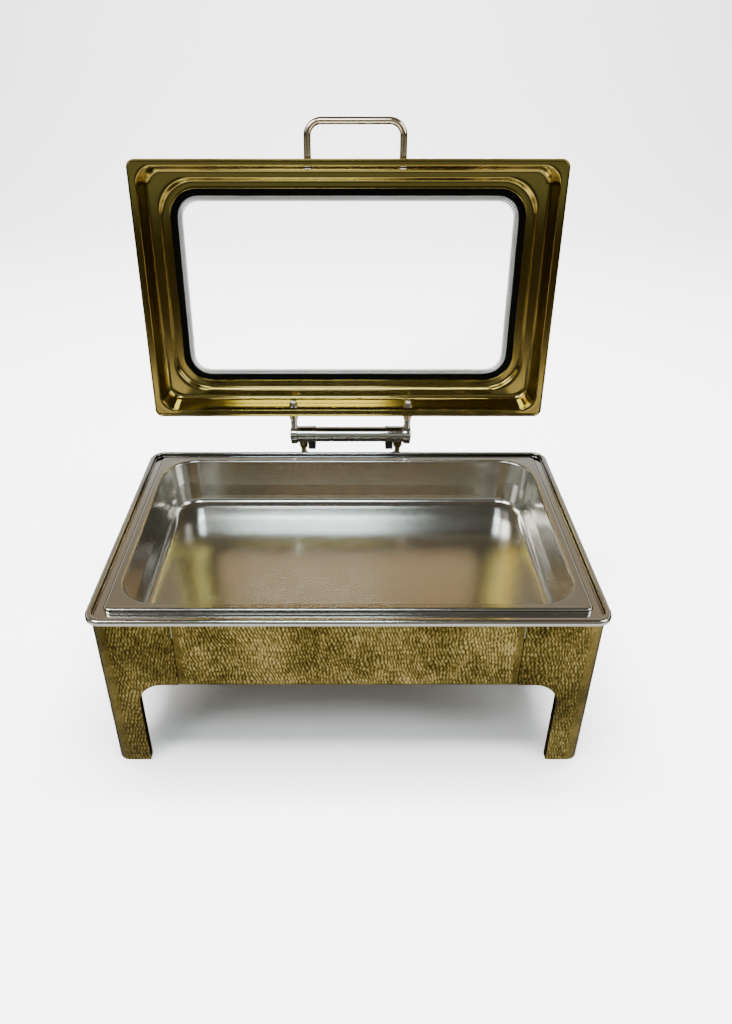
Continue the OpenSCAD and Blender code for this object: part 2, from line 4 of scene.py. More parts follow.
import bmesh
import bpy
import numpy as np
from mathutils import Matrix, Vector


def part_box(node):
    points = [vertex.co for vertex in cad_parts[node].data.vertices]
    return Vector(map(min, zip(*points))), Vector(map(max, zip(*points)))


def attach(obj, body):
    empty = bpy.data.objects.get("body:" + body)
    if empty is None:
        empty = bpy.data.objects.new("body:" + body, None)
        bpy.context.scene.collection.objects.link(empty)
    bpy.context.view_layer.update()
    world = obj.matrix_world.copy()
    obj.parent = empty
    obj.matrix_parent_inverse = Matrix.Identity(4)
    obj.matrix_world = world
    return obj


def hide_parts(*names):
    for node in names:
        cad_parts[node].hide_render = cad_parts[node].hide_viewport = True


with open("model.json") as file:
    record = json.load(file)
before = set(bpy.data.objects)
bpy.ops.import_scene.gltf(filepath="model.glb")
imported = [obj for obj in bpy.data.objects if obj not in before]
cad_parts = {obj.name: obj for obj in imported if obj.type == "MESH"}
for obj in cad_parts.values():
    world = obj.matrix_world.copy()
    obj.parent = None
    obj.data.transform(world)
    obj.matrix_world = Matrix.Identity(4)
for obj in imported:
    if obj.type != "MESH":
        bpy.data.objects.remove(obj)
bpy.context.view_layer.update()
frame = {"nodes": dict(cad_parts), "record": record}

MM = 0.001
QUARTER = math.pi / 2
ALONG_X, UP, FORWARD = (1, 0, 0), (0, 0, 1), (0, -1, 0)


# ---------------------------------------------------------------- places

def mm_box(node):
    """The corners of a CAD node's box, in millimetres."""
    lo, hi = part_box(node)
    return np.array(lo) * 1000, np.array(hi) * 1000


pan_lo, pan_hi = mm_box("water_pan")
CX = (pan_lo[0] + pan_hi[0]) / 2
CY = (pan_lo[1] + pan_hi[1]) / 2
RIM_Z = pan_hi[2]
RIM_A = (pan_hi[0] - pan_lo[0]) / 2
RIM_B = (pan_hi[1] - pan_lo[1]) / 2

joints = {j["name"]: j for j in frame["record"]["behaviour"]["joints"]}
hinge = joints["lid_hinge"]
HX, HY, HZ = (v * 1000 for v in hinge["pos_m"])
OPEN = math.radians(-hinge["range_deg"][0])
LID_Z = HZ - 11.9


def opened(points):
    """Points drawn on the closed lid, turned open about the hinge."""
    p = np.array(points, float)
    y, z = p[:, 1] - HY, p[:, 2] - HZ
    out = p.copy()
    out[:, 1] = HY + y * math.cos(OPEN) + z * math.sin(OPEN)
    out[:, 2] = HZ - y * math.sin(OPEN) + z * math.cos(OPEN)
    return out


# ---------------------------------------------------------------- meshes

def piece(name, verts, faces, material, body, slot, replaces=(), lid=False, weighted=True,
          smooth=True, sharp=None, bevel=None):
    """A mesh piece from points in millimetres, riding on a body."""
    pts = opened(verts) if lid else np.array(verts, float)
    mesh = bpy.data.meshes.new(name)
    mesh.from_pydata([tuple(v) for v in pts * MM], [], [tuple(int(i) for i in f) for f in faces])
    mesh.update()
    obj = bpy.data.objects.new(name, mesh)
    bpy.context.scene.collection.objects.link(obj)
    bm = bmesh.new()
    bm.from_mesh(mesh)
    bmesh.ops.remove_doubles(bm, verts=bm.verts, dist=1e-7)
    bmesh.ops.recalc_face_normals(bm, faces=bm.faces)
    bm.to_mesh(mesh)
    bm.free()
    mesh.materials.append(material)
    if smooth:
        mesh.shade_smooth()
        if sharp is not None:
            mesh.set_sharp_from_angle(angle=math.radians(sharp))
    if bevel:
        mod = obj.modifiers.new("edges", "BEVEL")
        mod.width = bevel * MM
        mod.segments = 3
        mod.limit_method = "ANGLE"
        mod.angle_limit = math.radians(35)
        mod.harden_normals = True
    if weighted:
        mod = obj.modifiers.new("normals", "WEIGHTED_NORMAL")
        mod.keep_sharp = True
    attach(obj, body)
    if replaces:
        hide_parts(*replaces)
    return obj


class Build:
    """Gathers several shapes into one mesh."""

    def __init__(self):
        self.v = []
        self.f = []

    def add(self, verts, faces):
        n = sum(len(v) for v in self.v)
        self.v.append(np.array(verts, float))
        self.f += [tuple(i + n for i in f) for f in faces]
        return self

    def verts(self):
        return np.vstack(self.v)


def rounded_ring(a, b, r, n=12, long_n=24, short_n=16):
    """Points round a rounded rectangle with half sizes a and b, the same count for every size."""
    pts = []
    corners = [(1, 1, 0), (-1, 1, 90), (-1, -1, 180), (1, -1, 270)]
    for k, (sx, sy, start) in enumerate(corners):
        cx, cy = sx * (a - r), sy * (b - r)
        arc = [(cx + r * math.cos(math.radians(start + 90 * i / n)),
                cy + r * math.sin(math.radians(start + 90 * i / n))) for i in range(n + 1)]
        pts += arc
        nx, ny, ns = corners[(k + 1) % 4]
        end = (nx * (a - r) + r * math.cos(math.radians(ns)), ny * (b - r) + r * math.sin(math.radians(ns)))
        m = long_n if k in (0, 2) else short_n
        for i in range(1, m):
            t = i / m
            pts.append((arc[-1][0] * (1 - t) + end[0] * t, arc[-1][1] * (1 - t) + end[1] * t))
    return pts


def loft(levels, closed=True, floor=False, n=12, long_n=24, short_n=16):
    """Skins a list of (half width, half depth, corner radius, height) into one surface about the
    pans' middle; floor fills the last level."""
    verts, faces = [], []
    count = None
    for a, b, r, z in levels:
        ring = rounded_ring(a, b, r, n, long_n, short_n)
        count = len(ring)
        verts += [(CX + x, CY + y, z) for x, y in ring]
    rows = len(levels)
    for i in range(rows if closed else rows - 1):
        j = (i + 1) % rows
        for k in range(count):
            m = (k + 1) % count
            faces.append((i * count + k, i * count + m, j * count + m, j * count + k))
    if floor:
        base = (rows - 1) * count
        faces.append(tuple(base + k for k in range(count)))
    return verts, faces


def lathe(profile, origin, axis, n=48, closed=False, start=0.0):
    """Turns (radius, distance along axis) points about an axis through origin."""
    axis = Vector(axis).normalized()
    side = axis.orthogonal().normalized()
    if abs(axis.z) < 0.5:
        side = (Vector((0, 0, 1)) - axis * axis.z).normalized()
    up = axis.cross(side)
    o = Vector(origin)
    verts, faces = [], []
    rings = []
    for r, h in profile:
        c = o + axis * h
        if r < 1e-6:
            rings.append([len(verts)])
            verts.append(tuple(c))
            continue
        ring = []
        for k in range(n):
            t = start + 2 * math.pi * k / n
            ring.append(len(verts))
            verts.append(tuple(c + side * (r * math.cos(t)) + up * (r * math.sin(t))))
        rings.append(ring)
    pairs = list(zip(rings[:-1], rings[1:])) + ([(rings[-1], rings[0])] if closed else [])
    for p, q in pairs:
        if len(p) == 1 and len(q) == 1:
            continue
        for k in range(n):
            m = (k + 1) % n
            if len(p) == 1:
                faces.append((p[0], q[k], q[m]))
            elif len(q) == 1:
                faces.append((p[k], q[0], p[m]))
            else:
                faces.append((p[k], q[k], q[m], p[m]))
    return verts, faces


def rod(r, h0, h1, ease=0.6, steps=3):
    """Profile of a solid rod with eased ends."""
    ease = min(ease, r * 0.9, (h1 - h0) / 2)
    out = [(0, h0)]
    out += [(r - ease + ease * math.sin(t), h0 + ease - ease * math.cos(t))
            for t in np.linspace(0, QUARTER, steps + 1)]
    out += [(r - ease + ease * math.cos(t), h1 - ease + ease * math.sin(t))
            for t in np.linspace(0, QUARTER, steps + 1)]
    out += [(0, h1)]
    return out


def sleeve(r_out, r_in, h0, h1, ease=0.5, steps=3):
    """Profile of a tube with eased ends, to be closed on itself."""
    e = ease
    turn = np.linspace(0, QUARTER, steps + 1)
    out = [(r_in + e, h0)]
    out += [(r_out - e + e * math.sin(t), h0 + e - e * math.cos(t)) for t in turn]
    out += [(r_out - e + e * math.cos(t), h1 - e + e * math.sin(t)) for t in turn]
    out += [(r_in + e - e * math.sin(t), h1 - e + e * math.cos(t)) for t in turn]
    out += [(r_in + e - e * math.cos(t), h0 + e - e * math.sin(t)) for t in turn]
    return out


def hexagon(across, h0, h1, origin, axis, turn=0.0):
    """A hexagonal nut or bolt head with chamfered corners."""
    r = across / 2 / math.cos(math.pi / 6)
    profile = [(0, h0), (r * 0.94, h0), (r, h0 + 0.5), (r, h1 - 0.7), (r * 0.93, h1)]
    return lathe(profile + [(0, h1)], origin, axis, n=6, start=turn)


def slab(lo, hi):
    """A plain block, whose edges a bevel eases."""
    (x0, y0, z0), (x1, y1, z1) = lo, hi
    v = [(x, y, z) for z in (z0, z1) for y in (y0, y1) for x in (x0, x1)]
    f = [(0, 2, 3, 1), (4, 5, 7, 6), (0, 1, 5, 4), (2, 6, 7, 3), (0, 4, 6, 2), (1, 3, 7, 5)]
    return v, f


def tube(path, radius, n=24):
    """A round bar along a path that lies in one plane."""
    pts = [Vector(p) for p in path]
    verts, faces = [], []
    normal = None
    for i in range(1, len(pts) - 1):
        c = (pts[i] - pts[i - 1]).cross(pts[i + 1] - pts[i])
        if c.length > 1e-9:
            normal = c.normalized()
            break
    for i, p in enumerate(pts):
        t = (pts[min(i + 1, len(pts) - 1)] - pts[max(i - 1, 0)]).normalized()
        s = t.cross(normal).normalized()
        for k in range(n):
            a = 2 * math.pi * k / n
            verts.append(tuple(p + normal * (radius * math.cos(a)) + s * (radius * math.sin(a))))
    for i in range(len(pts) - 1):
        for k in range(n):
            m = (k + 1) % n
            faces.append((i * n + k, i * n + m, (i + 1) * n + m, (i + 1) * n + k))
    faces.append(tuple(range(n)))
    faces.append(tuple((len(pts) - 1) * n + k for k in range(n)))
    return verts, faces


def grid(rows, n):
    """Quads between neighbouring rows of n points."""
    return [(i * n + j, i * n + j + 1, (i + 1) * n + j + 1, (i + 1) * n + j)
            for i in range(rows - 1) for j in range(n - 1)]


# ---------------------------------------------------------------- materials

class Mat:
    """A procedural material with a few shorthands."""

    def __init__(self, name):
        self.m = bpy.data.materials.new(name)
        self.m.use_nodes = True
        self.t = self.m.node_tree
        self.b = self.t.nodes["Principled BSDF"]
        self.tc = self.t.nodes.new("ShaderNodeTexCoord")

    def set(self, **kw):
        for k, v in kw.items():
            self.b.inputs[k.replace("_", " ")].default_value = v
        return self

    def node(self, kind, **kw):
        n = self.t.nodes.new(kind)
        for k, v in kw.items():
            if hasattr(n, k):
                setattr(n, k, v)
            else:
                n.inputs[k].default_value = v
        return n

    def link(self, a, b):
        self.t.links.new(a, b)

    def coords(self, scale):
        m = self.node("ShaderNodeMapping")
        m.inputs["Scale"].default_value = scale
        self.link(self.tc.outputs["Object"], m.inputs["Vector"])
        return m.outputs["Vector"]

    def noise(self, scale, detail, rough, stretch=(1, 1, 1)):
        n = self.node("ShaderNodeTexNoise")
        n.inputs["Scale"].default_value = scale
        n.inputs["Detail"].default_value = detail
        n.inputs["Roughness"].default_value = rough
        self.link(self.coords(stretch), n.inputs["Vector"])
        return n.outputs["Fac"]

    def ramp(self, fac, stops):
        r = self.node("ShaderNodeValToRGB")
        while len(r.color_ramp.elements) < len(stops):
            r.color_ramp.elements.new(0.5)
        for e, (p, c) in zip(r.color_ramp.elements, stops):
            e.position = p
            e.color = c if len(c) == 4 else (*c, 1)
        self.link(fac, r.inputs["Fac"])
        return r.outputs["Color"]

    def fit(self, fac, lo, hi, from_lo=0.3, from_hi=0.7):
        n = self.node("ShaderNodeMapRange")
        n.inputs["From Min"].default_value = from_lo
        n.inputs["From Max"].default_value = from_hi
        n.inputs["To Min"].default_value = lo
        n.inputs["To Max"].default_value = hi
        self.link(fac, n.inputs["Value"])
        return n.outputs["Result"]

    def math(self, op, a, b):
        n = self.node("ShaderNodeMath", operation=op)
        for i, v in enumerate((a, b)):
            if isinstance(v, (int, float)):
                n.inputs[i].default_value = v
            else:
                self.link(v, n.inputs[i])
        return n.outputs[0]

    def color(self, out):
        self.link(out, self.b.inputs["Base Color"])
        return self

    def rough(self, out):
        self.link(out, self.b.inputs["Roughness"])
        return self

    def bump(self, out, strength, distance):
        n = self.node("ShaderNodeBump")
        n.inputs["Strength"].default_value = strength
        n.inputs["Distance"].default_value = distance
        self.link(out, n.inputs["Height"])
        self.link(n.outputs["Normal"], self.b.inputs["Normal"])
        return self


def metal(name, dark, light, rough_lo, rough_hi, grain_scale, smudge, bump=0.0):
    """Metal with uneven tone, fingerprint-like roughness patches and a fine grain."""
    m = Mat(name).set(Metallic=1.0)
    patches = m.noise(smudge, 1.5, 0.45)
    fine = m.noise(grain_scale, 2, 0.5)
    tone = m.math("ADD", m.math("MULTIPLY", patches, 0.75), m.math("MULTIPLY", fine, 0.25))
    m.color(m.ramp(tone, [(0.30, dark), (0.70, light)]))
    m.rough(m.fit(tone, rough_lo, rough_hi, 0.30, 0.70))
    if bump:
        m.bump(fine, 0.35, bump * MM)
    return m.m


def hammered():
    """Antique brass: dark wax left in the hammered hollows, rubbed bright on the ridges."""
    m = Mat("hammered_brass").set(Metallic=1.0)
    relief = m.node("ShaderNodeAttribute", attribute_name="relief")
    height = relief.outputs["Fac"]
    big = m.noise(13, 4, 0.62)
    small = m.noise(600, 3, 0.65, (1, 1, 0.5))
    hollow = m.math("ADD", m.math("MULTIPLY", height, 0.46), m.math("MULTIPLY", big, 0.62))
    hollow = m.math("ADD", hollow, m.math("MULTIPLY", m.math("SUBTRACT", small, 0.5), 0.42))
    m.color(m.ramp(hollow, [(0.28, (0.022, 0.016, 0.002)), (0.45, (0.095, 0.072, 0.013)),
                            (0.60, (0.225, 0.175, 0.045)), (0.80, (0.56, 0.46, 0.20))]))
    m.rough(m.fit(hollow, 0.44, 0.30, 0.2, 0.8))
    m.bump(small, 0.5, 0.22 * MM)
    return m.m


hammered_brass = hammered()
lid_brass = metal("lid_brass", (0.36, 0.285, 0.085), (0.43, 0.345, 0.115), 0.09, 0.13, 120, 4)
brushed = metal("pan_steel", (0.55, 0.54, 0.50), (0.61, 0.60, 0.57), 0.15, 0.20, 60, 3)
rim_steel = metal("rim_steel", (0.64, 0.63, 0.60), (0.70, 0.69, 0.67), 0.10, 0.14, 120, 5)
# Nearly black steel: painted shade, laid on the well's inner wall to stand for its dark reflection.
painted_shade_steel = metal("painted_shade_steel", (0.012, 0.010, 0.008), (0.03, 0.027, 0.022), 0.3, 0.4, 120, 5)
zinc = metal("zinc_steel", (0.42, 0.42, 0.41), (0.56, 0.56, 0.55), 0.28, 0.45, 500, 18, 0.02)
chrome = metal("chrome", (0.66, 0.65, 0.63), (0.76, 0.76, 0.75), 0.04, 0.08, 300, 20)
gold = metal("handle_gold", (0.84, 0.68, 0.50), (0.92, 0.79, 0.62), 0.10, 0.16, 300, 14, 0.004)
bronze = metal("bush_bronze", (0.38, 0.25, 0.10), (0.50, 0.35, 0.15), 0.25, 0.4, 400, 30, 0.01)


def rubber_material(name, tone, gloss=0.12):
    """A matt black: rubber, or the fired border on the glass."""
    m = Mat(name)
    n = m.noise(700, 2, 0.5)
    m.color(m.ramp(n, [(0.35, tuple(v * 0.7 for v in tone)), (0.65, tone)]))
    m.rough(m.fit(n, 0.5, 0.72))
    m.bump(n, 0.3, 0.03 * MM)
    m.b.inputs["Specular IOR Level"].default_value = gloss
    return m.m


rubber = rubber_material("black_rubber", (0.018, 0.018, 0.018))
frit_black = rubber_material("frit_black", (0.0015, 0.0015, 0.0010), 0.03)


def glass_material():
    """Clear glass with a faint green tone."""
    m = Mat("window_glass").set(IOR=1.14)
    m.b.inputs["Transmission Weight"].default_value = 1.0
    n = m.noise(5, 2, 0.5)
    m.color(m.ramp(n, [(0.3, (0.93, 0.965, 0.95)), (0.7, (0.96, 0.985, 0.975))]))
    m.rough(m.fit(n, 0.0, 0.02))
    return m.m


clear_glass = glass_material()


# ---------------------------------------------------------------- hammered body

body_lo, _ = mm_box("corner_leg_front_left")
_, body_hi = mm_box("corner_leg_back_right")
BODY_A = (body_hi[0] - body_lo[0]) / 2
BODY_B = (body_hi[1] - body_lo[1]) / 2
BEND = 13.0
front_lo, front_hi = mm_box("front_panel")
left_lo, left_hi = mm_box("left_panel")
PANEL_Z, PANEL_TOP = front_lo[2], front_hi[2]
SEAM_X = front_hi[0]
SEAM_Y = (left_hi[1] - left_lo[1]) / 2
SHEET = 1.2
LEG_W = 39.5
ARCH_R = 29.0
HEM = 10.0
SEAM_GAP = 1.2


def value_noise(u, v, seed):
    """Smooth noise between 0 and 1 on plane coordinates."""
    table = np.random.default_rng(seed).random((256, 256))
    iu, iv = np.floor(u).astype(int), np.floor(v).astype(int)
    fu, fv = u - iu, v - iv
    fu, fv = fu * fu * (3 - 2 * fu), fv * fv * (3 - 2 * fv)

    def g(a, b):
        return table[a % 256, b % 256]

    return ((g(iu, iv) * (1 - fu) + g(iu + 1, iv) * fu) * (1 - fv)
            + (g(iu, iv + 1) * (1 - fu) + g(iu + 1, iv + 1) * fu) * fv)


RIDGE_PITCH = 3.6
STROKE_LENGTH = 6.3


def ripples(s, z, seed):
    """Relief of the hammered sheet: upright wavy ridges broken into short strokes, 0 to 1."""
    lean = (value_noise(s / 34, z / 26, seed) - 0.5) * 7
    across = s + lean
    row = z + (value_noise(s / 21, z / 50, seed + 5) - 0.5) * 10
    phase = (value_noise(s / 9, z / 7, seed + 1) - 0.5) * 5.2 + np.floor(row / STROKE_LENGTH) * 2.4
    stroke = 0.5 + 0.5 * np.sin(across * (2 * np.pi / RIDGE_PITCH) + phase)
    broken = 0.5 + 0.5 * np.cos(row * (2 * np.pi / STROKE_LENGTH))
    rough = value_noise(across / 2.1, row / 3.1 + 3, seed + 3)
    h = 0.48 * stroke + 0.13 * (1 - broken ** 3) + 0.39 * rough
    return np.clip((h - 0.18) / 0.64, 0, 1)


def soft(x, width):
    """Eases from 0 to 1 as x goes from 0 to width."""
    t = np.clip(x / width, 0, 1)
    return t * t * (3 - 2 * t)


DEPTH = 0.62            # of the hammering
MID_DEPTH = 0.55        # relief where the sheet is left plain
BACK = DEPTH * 0.45     # how far the hems lie behind the face
ROW_STEP = 1.45
COLUMN_STEP = 0.95
SEAM_TONE = 0.3         # relief values of the edges, for the patina
HEM_TONE = 0.45
LEG_TONE = 0.42
PLAIN_TONE = 0.38
CORNER_DARK = 0.22      # how much darker the corners' patina is than the panels'


def behind(column, deep, z):
    """The point a given depth behind the sheet's face, at height z in a column."""
    _, p, n, _ = column
    return (p[0] - n[0] * deep, p[1] - n[1] * deep, z)


def sheet_mesh(columns, seed, plain):
    """A hammered sheet hanging from the body's top. Each column is (distance along the sheet, point,
    outward normal, lower end); plain tells how much relief the sheet has at a distance along it."""
    rows = int((PANEL_TOP - PANEL_Z) / ROW_STEP)
    leg_rows = int(PANEL_Z / ROW_STEP)
    legs = any(c[3] < PANEL_Z - 0.5 for c in columns)
    verts, relief = [], []
    for column in columns:
        s, _, _, low = column
        zs = list(np.linspace(PANEL_TOP, PANEL_Z, rows + 1))
        if legs:
            zs += list(np.linspace(PANEL_Z, low, leg_rows + 1))[1:]
        zs = np.array(zs)
        zs[-1] = max(zs[-1], low)
        h = ripples(s, zs, seed)
        k = plain(s) * soft(zs - low, 3.0) * soft(PANEL_TOP - zs + 2, 4)
        relief += [float(v) for v in PLAIN_TONE + (h - PLAIN_TONE) * k]
        h = MID_DEPTH + (h - MID_DEPTH) * k
        verts += [behind(column, DEPTH * (1 - v), z) for z, v in zip(zs, h)]
    return verts, relief, grid(len(columns), len(verts) // len(columns))


def attach_relief(obj, points, relief):
    """Stores the relief of the nearest built point on each vertex, for the patina."""
    lookup = {tuple(np.round(np.array(p) * MM, 6)): r for p, r in zip(points, relief)}
    attr = obj.data.attributes.new("relief", "FLOAT", "POINT")
    for i, v in enumerate(obj.data.vertices):
        attr.data[i].value = lookup.get(tuple(np.round(np.array(v.co[:]), 6)), 0.5)


class Sheet(Build):
    """A hammered sheet with its hems, and the relief value of each of its points."""

    def __init__(self, columns, seed, plain):
        super().__init__()
        self.columns = columns
        verts, self.values, faces = sheet_mesh(columns, seed, plain)
        self.add(verts, faces)

    def strip(self, points, rows, tone):
        """A strip of points in equal rows, all of one tone."""
        self.add(points, grid(rows, len(points) // rows))
        self.values += [tone] * len(points)

    def hem(self, columns, tone, fall):
        """The lower edge turned into the stand, falling a little as it turns."""
        turns = [(0.0, 0.0), (0.25, 0.45), (0.75, 0.75), (1.2, 1.0), (HEM, 1.0)]
        self.strip([behind(c, BACK + deep, c[3] - fall * drop) for c in columns for deep, drop in turns],
                   len(columns), tone)

    def ends(self, low):
        """Both ends of the sheet at its seams, turned into the stand."""
        for c in (self.columns[0], self.columns[-1]):
            self.strip([behind(c, deep, z) for z in (PANEL_TOP, low) for deep in (BACK, 2.2)], 2, SEAM_TONE)

    def place(self, name, node):
        """The sheet as a piece, in place of a CAD node."""
        verts = self.verts()
        obj = piece(name, verts, self.f, hammered_brass, "stand", "hammered_brass", (node,),
                    weighted=False, sharp=50)
        attach_relief(obj, verts, self.values)


def flat_panel(name, half, place, normal, along, offset, seed, node):
    """A hammered middle panel: place is its middle on the face, along its direction, and offset
    is where it lies in the pattern."""
    lower_end = PANEL_Z + 0.9
    cols = [(s + offset, (place[0] + along[0] * s, place[1] + along[1] * s), normal, lower_end)
            for s in np.linspace(-half, half, int(2 * half / COLUMN_STEP) + 1)]

    def plain(s):
        return soft(half - abs(s - offset) - 5.0, 4.0)

    sheet = Sheet(cols, seed, plain)
    sheet.hem(cols, HEM_TONE, 0.9)
    sheet.ends(lower_end)
    sheet.place(name, node)


def arch_end(gap):
    """Lower end of a corner sheet at a distance from the leg's inner edge, towards the seam."""
    if gap <= 0:
        return 0.0
    if gap >= ARCH_R:
        return PANEL_Z
    return PANEL_Z - ARCH_R + math.sqrt(max(ARCH_R ** 2 - (ARCH_R - gap) ** 2, 0))


def over_arch(seam, arch):
    """Places from the seam to the leg's inner edge, closer together where the arch is steep."""
    even = np.linspace(seam + SEAM_GAP, arch, int((arch - seam) / COLUMN_STEP) + 1)
    steep = [arch - g for g in (0.9, 0.4, 0.12, 0.001)]
    return sorted(set(np.round([v for v in even if v < arch - 1.2] + steep, 4)))


def corner_columns(sx, sy):
    """Columns from the front or back seam round the bend to the side seam."""
    arch_x, arch_y = BODY_A - LEG_W, BODY_B - LEG_W
    end_x, end_y = BODY_A - BEND, BODY_B - BEND
    stations = [("x", x, arch_end(arch_x - x)) for x in over_arch(SEAM_X, arch_x)]
    stations.append(("x", arch_x + 0.001, 0.0))
    stations += [("x", x, 0.0) for x in np.linspace(arch_x + 1.2, end_x, int((end_x - arch_x) / COLUMN_STEP))]
    stations += [("bend", t, 0.0) for t in np.linspace(0, 90, 19)[1:-1]]
    stations += [("y", end_y - i * (end_y - arch_y - 1.2) / 18, 0.0) for i in range(19)]
    stations.append(("y", arch_y + 0.001, 0.0))
    stations += [("y", y, arch_end(arch_y - y)) for y in reversed(over_arch(SEAM_Y, arch_y))]
    cols = []
    s, last = 0.0, None
    for kind, q, low in stations:
        if kind == "x":
            p, n = (q, BODY_B), (0, 1)
        elif kind == "y":
            p, n = (BODY_A, q), (1, 0)
        else:
            a = math.radians(90 - q)
            n = (math.cos(a), math.sin(a))
            p = (end_x + BEND * n[0], end_y + BEND * n[1])
        if last is not None:
            s += math.hypot(p[0] - last[0], p[1] - last[1])
        last = p
        cols.append((s, (CX + sx * p[0], CY + sy * p[1]), (sx * n[0], sy * n[1]), low))
    return cols


def corner_sheet(name, sx, sy, seed, node):
    """A hammered corner: front face, bend and side face of one bent sheet with its leg."""
    cols = corner_columns(sx, sy)
    bend_mid = BODY_A - BEND - SEAM_X - SEAM_GAP + BEND * math.pi / 4
    half_bend = BEND * math.pi / 4 + 1.0

    def off_bend(s):
        return soft(abs(s - bend_mid) - half_bend, 5.0)

    sheet = Sheet(cols, seed, off_bend)
    per_column = len(sheet.values) // len(cols)
    sheet.values = [max(r - CORNER_DARK * float(off_bend(cols[i // per_column][0])), 0.0)
                    for i, r in enumerate(sheet.values)]
    arch = [k for k, c in enumerate(cols) if c[3] > 0.5]
    front = [cols[k] for k in arch if k < len(cols) / 2]
    side = [cols[k] for k in arch if k > len(cols) / 2]
    for run in (front, side):
        sheet.hem(run, LEG_TONE, 0.0)
    for c in (front[-1], side[0]):
        heights = np.linspace(c[3], 0.0, 12)
        sheet.strip([behind(c, deep, z) for z in heights for deep in (BACK, 0.7, 1.2, HEM)],
                    len(heights), LEG_TONE)
    sheet.ends(PANEL_Z)
    foot = [c for c in cols if c[3] <= 0.5]
    inner = SHEET + 0.2
    sheet.strip([behind(c, deep, 0.0) for c in foot for deep in (BACK, inner)], len(foot), LEG_TONE)
    sheet.strip([behind(c, inner, z) for c in foot for z in (0.0, PANEL_TOP)], len(foot), LEG_TONE)
    sheet.place(name, node)


flat_panel("sheet_front", SEAM_X, (CX, CY - BODY_B), (0, -1), (1, 0), 400, 21, "front_panel")
flat_panel("sheet_back", SEAM_X, (CX, CY + BODY_B), (0, 1), (1, 0), 900, 22, "back_panel")
flat_panel("sheet_left", SEAM_Y, (CX - BODY_A, CY), (-1, 0), (0, 1), 1400, 23, "left_panel")
flat_panel("sheet_right", SEAM_Y, (CX + BODY_A, CY), (1, 0), (0, 1), 1900, 24, "right_panel")
corner_sheet("sheet_leg_front_left", -1, -1, 31, "corner_leg_front_left")
corner_sheet("sheet_leg_front_right", 1, -1, 32, "corner_leg_front_right")
corner_sheet("sheet_leg_back_left", -1, 1, 33, "corner_leg_back_left")
corner_sheet("sheet_leg_back_right", 1, 1, 34, "corner_leg_back_right")


# ---------------------------------------------------------------- pans

def sized(levels, a, b):
    """Levels given as (inset, corner radius, height) from half sizes a and b."""
    return [(a - i, b - i, r, z) for i, r, z in levels]


def water_pan():
    """Rim bead, sunk shoulder and deep well, then the same from below; a nearly black lining on the well's
    inner wall is painted shade.
    """
    t = RIM_Z
    above = [(0.9, 18.1, t - 6.4), (0.35, 18.7, t - 6.5), (0.05, 19.0, t - 6.1), (0, 19.0, t - 5.2),
             (0, 19.0, t - 4.0)]
    for a in np.linspace(0.15, QUARTER, 9):
        x = 3.2 - 3.2 * math.cos(a)
        above.append((x, 19 - x, t - 3.8 + 3.8 * math.sin(a)))
    above += [(4.4, 14.8, t), (5.6, 13.6, t), (6.3, 12.8, t - 0.15), (6.8, 12.3, t - 0.6),
              (7.0, 12.0, t - 1.3), (7.0, 12.0, t - 4.6), (7.25, 11.8, t - 5.2), (7.9, 11.4, t - 5.5),
              (9.5, 14, t - 5.5), (14, 30, t - 5.5), (18.5, 52.5, t - 5.5)]
    above += [(19.5 + 3 * math.sin(a), 53 - 3 * math.sin(a), t - 8.5 + 3 * math.cos(a))
              for a in np.linspace(0, QUARTER, 6)]
    above += [(24.5, 48, t - 45), (26.5, 46, t - 80)]
    above += [(28.3 + 12 * (1 - math.cos(a)), 44.2 - 12 * (1 - math.cos(a)) * 0.9, t - 85 - 12 * math.sin(a))
              for a in np.linspace(0.2, QUARTER, 6)]
    above += [(90, 20, t - 97.2), (150, 10, t - 97.3)]
    v, f = loft(sized(above, RIM_A, RIM_B), closed=False, floor=True)
    b = Build().add(v, f)
    below = [(0.9, 18.1, t - 6.4), (1.0, 18.0, t - 3.0), (2.2, 16.8, t - 1.2), (5.9, 13.1, t - 1.1),
             (6.0, 13.0, t - 6.4), (19.5, 53, t - 6.5), (21.6, 50.5, t - 9), (25.5, 47, t - 80),
             (28.5, 43, t - 90), (40, 33, t - 98), (150, 10, t - 98)]
    v, f = loft(sized(below, RIM_A, RIM_B), closed=False, floor=True)
    b.add(v, f)
    piece("rim_and_water_pan", b.verts(), b.f, rim_steel, "water_pan", "rim_steel", ("water_pan",),
          sharp=60)
    # A thin nearly black lining on the rim's inner wall: painted shade in the narrow well, not a finish of
    # the steel.
    wall = [(7.04, 11.96, t - 1.0), (7.30, 11.7, t - 1.1), (7.34, 11.66, t - 4.9), (7.04, 11.96, t - 5.1)]
    v, f = loft(sized(wall, RIM_A, RIM_B))
    piece("well_wall_painted_shade", v, f, painted_shade_steel, "water_pan", "rim_steel", (), weighted=False, sharp=60)


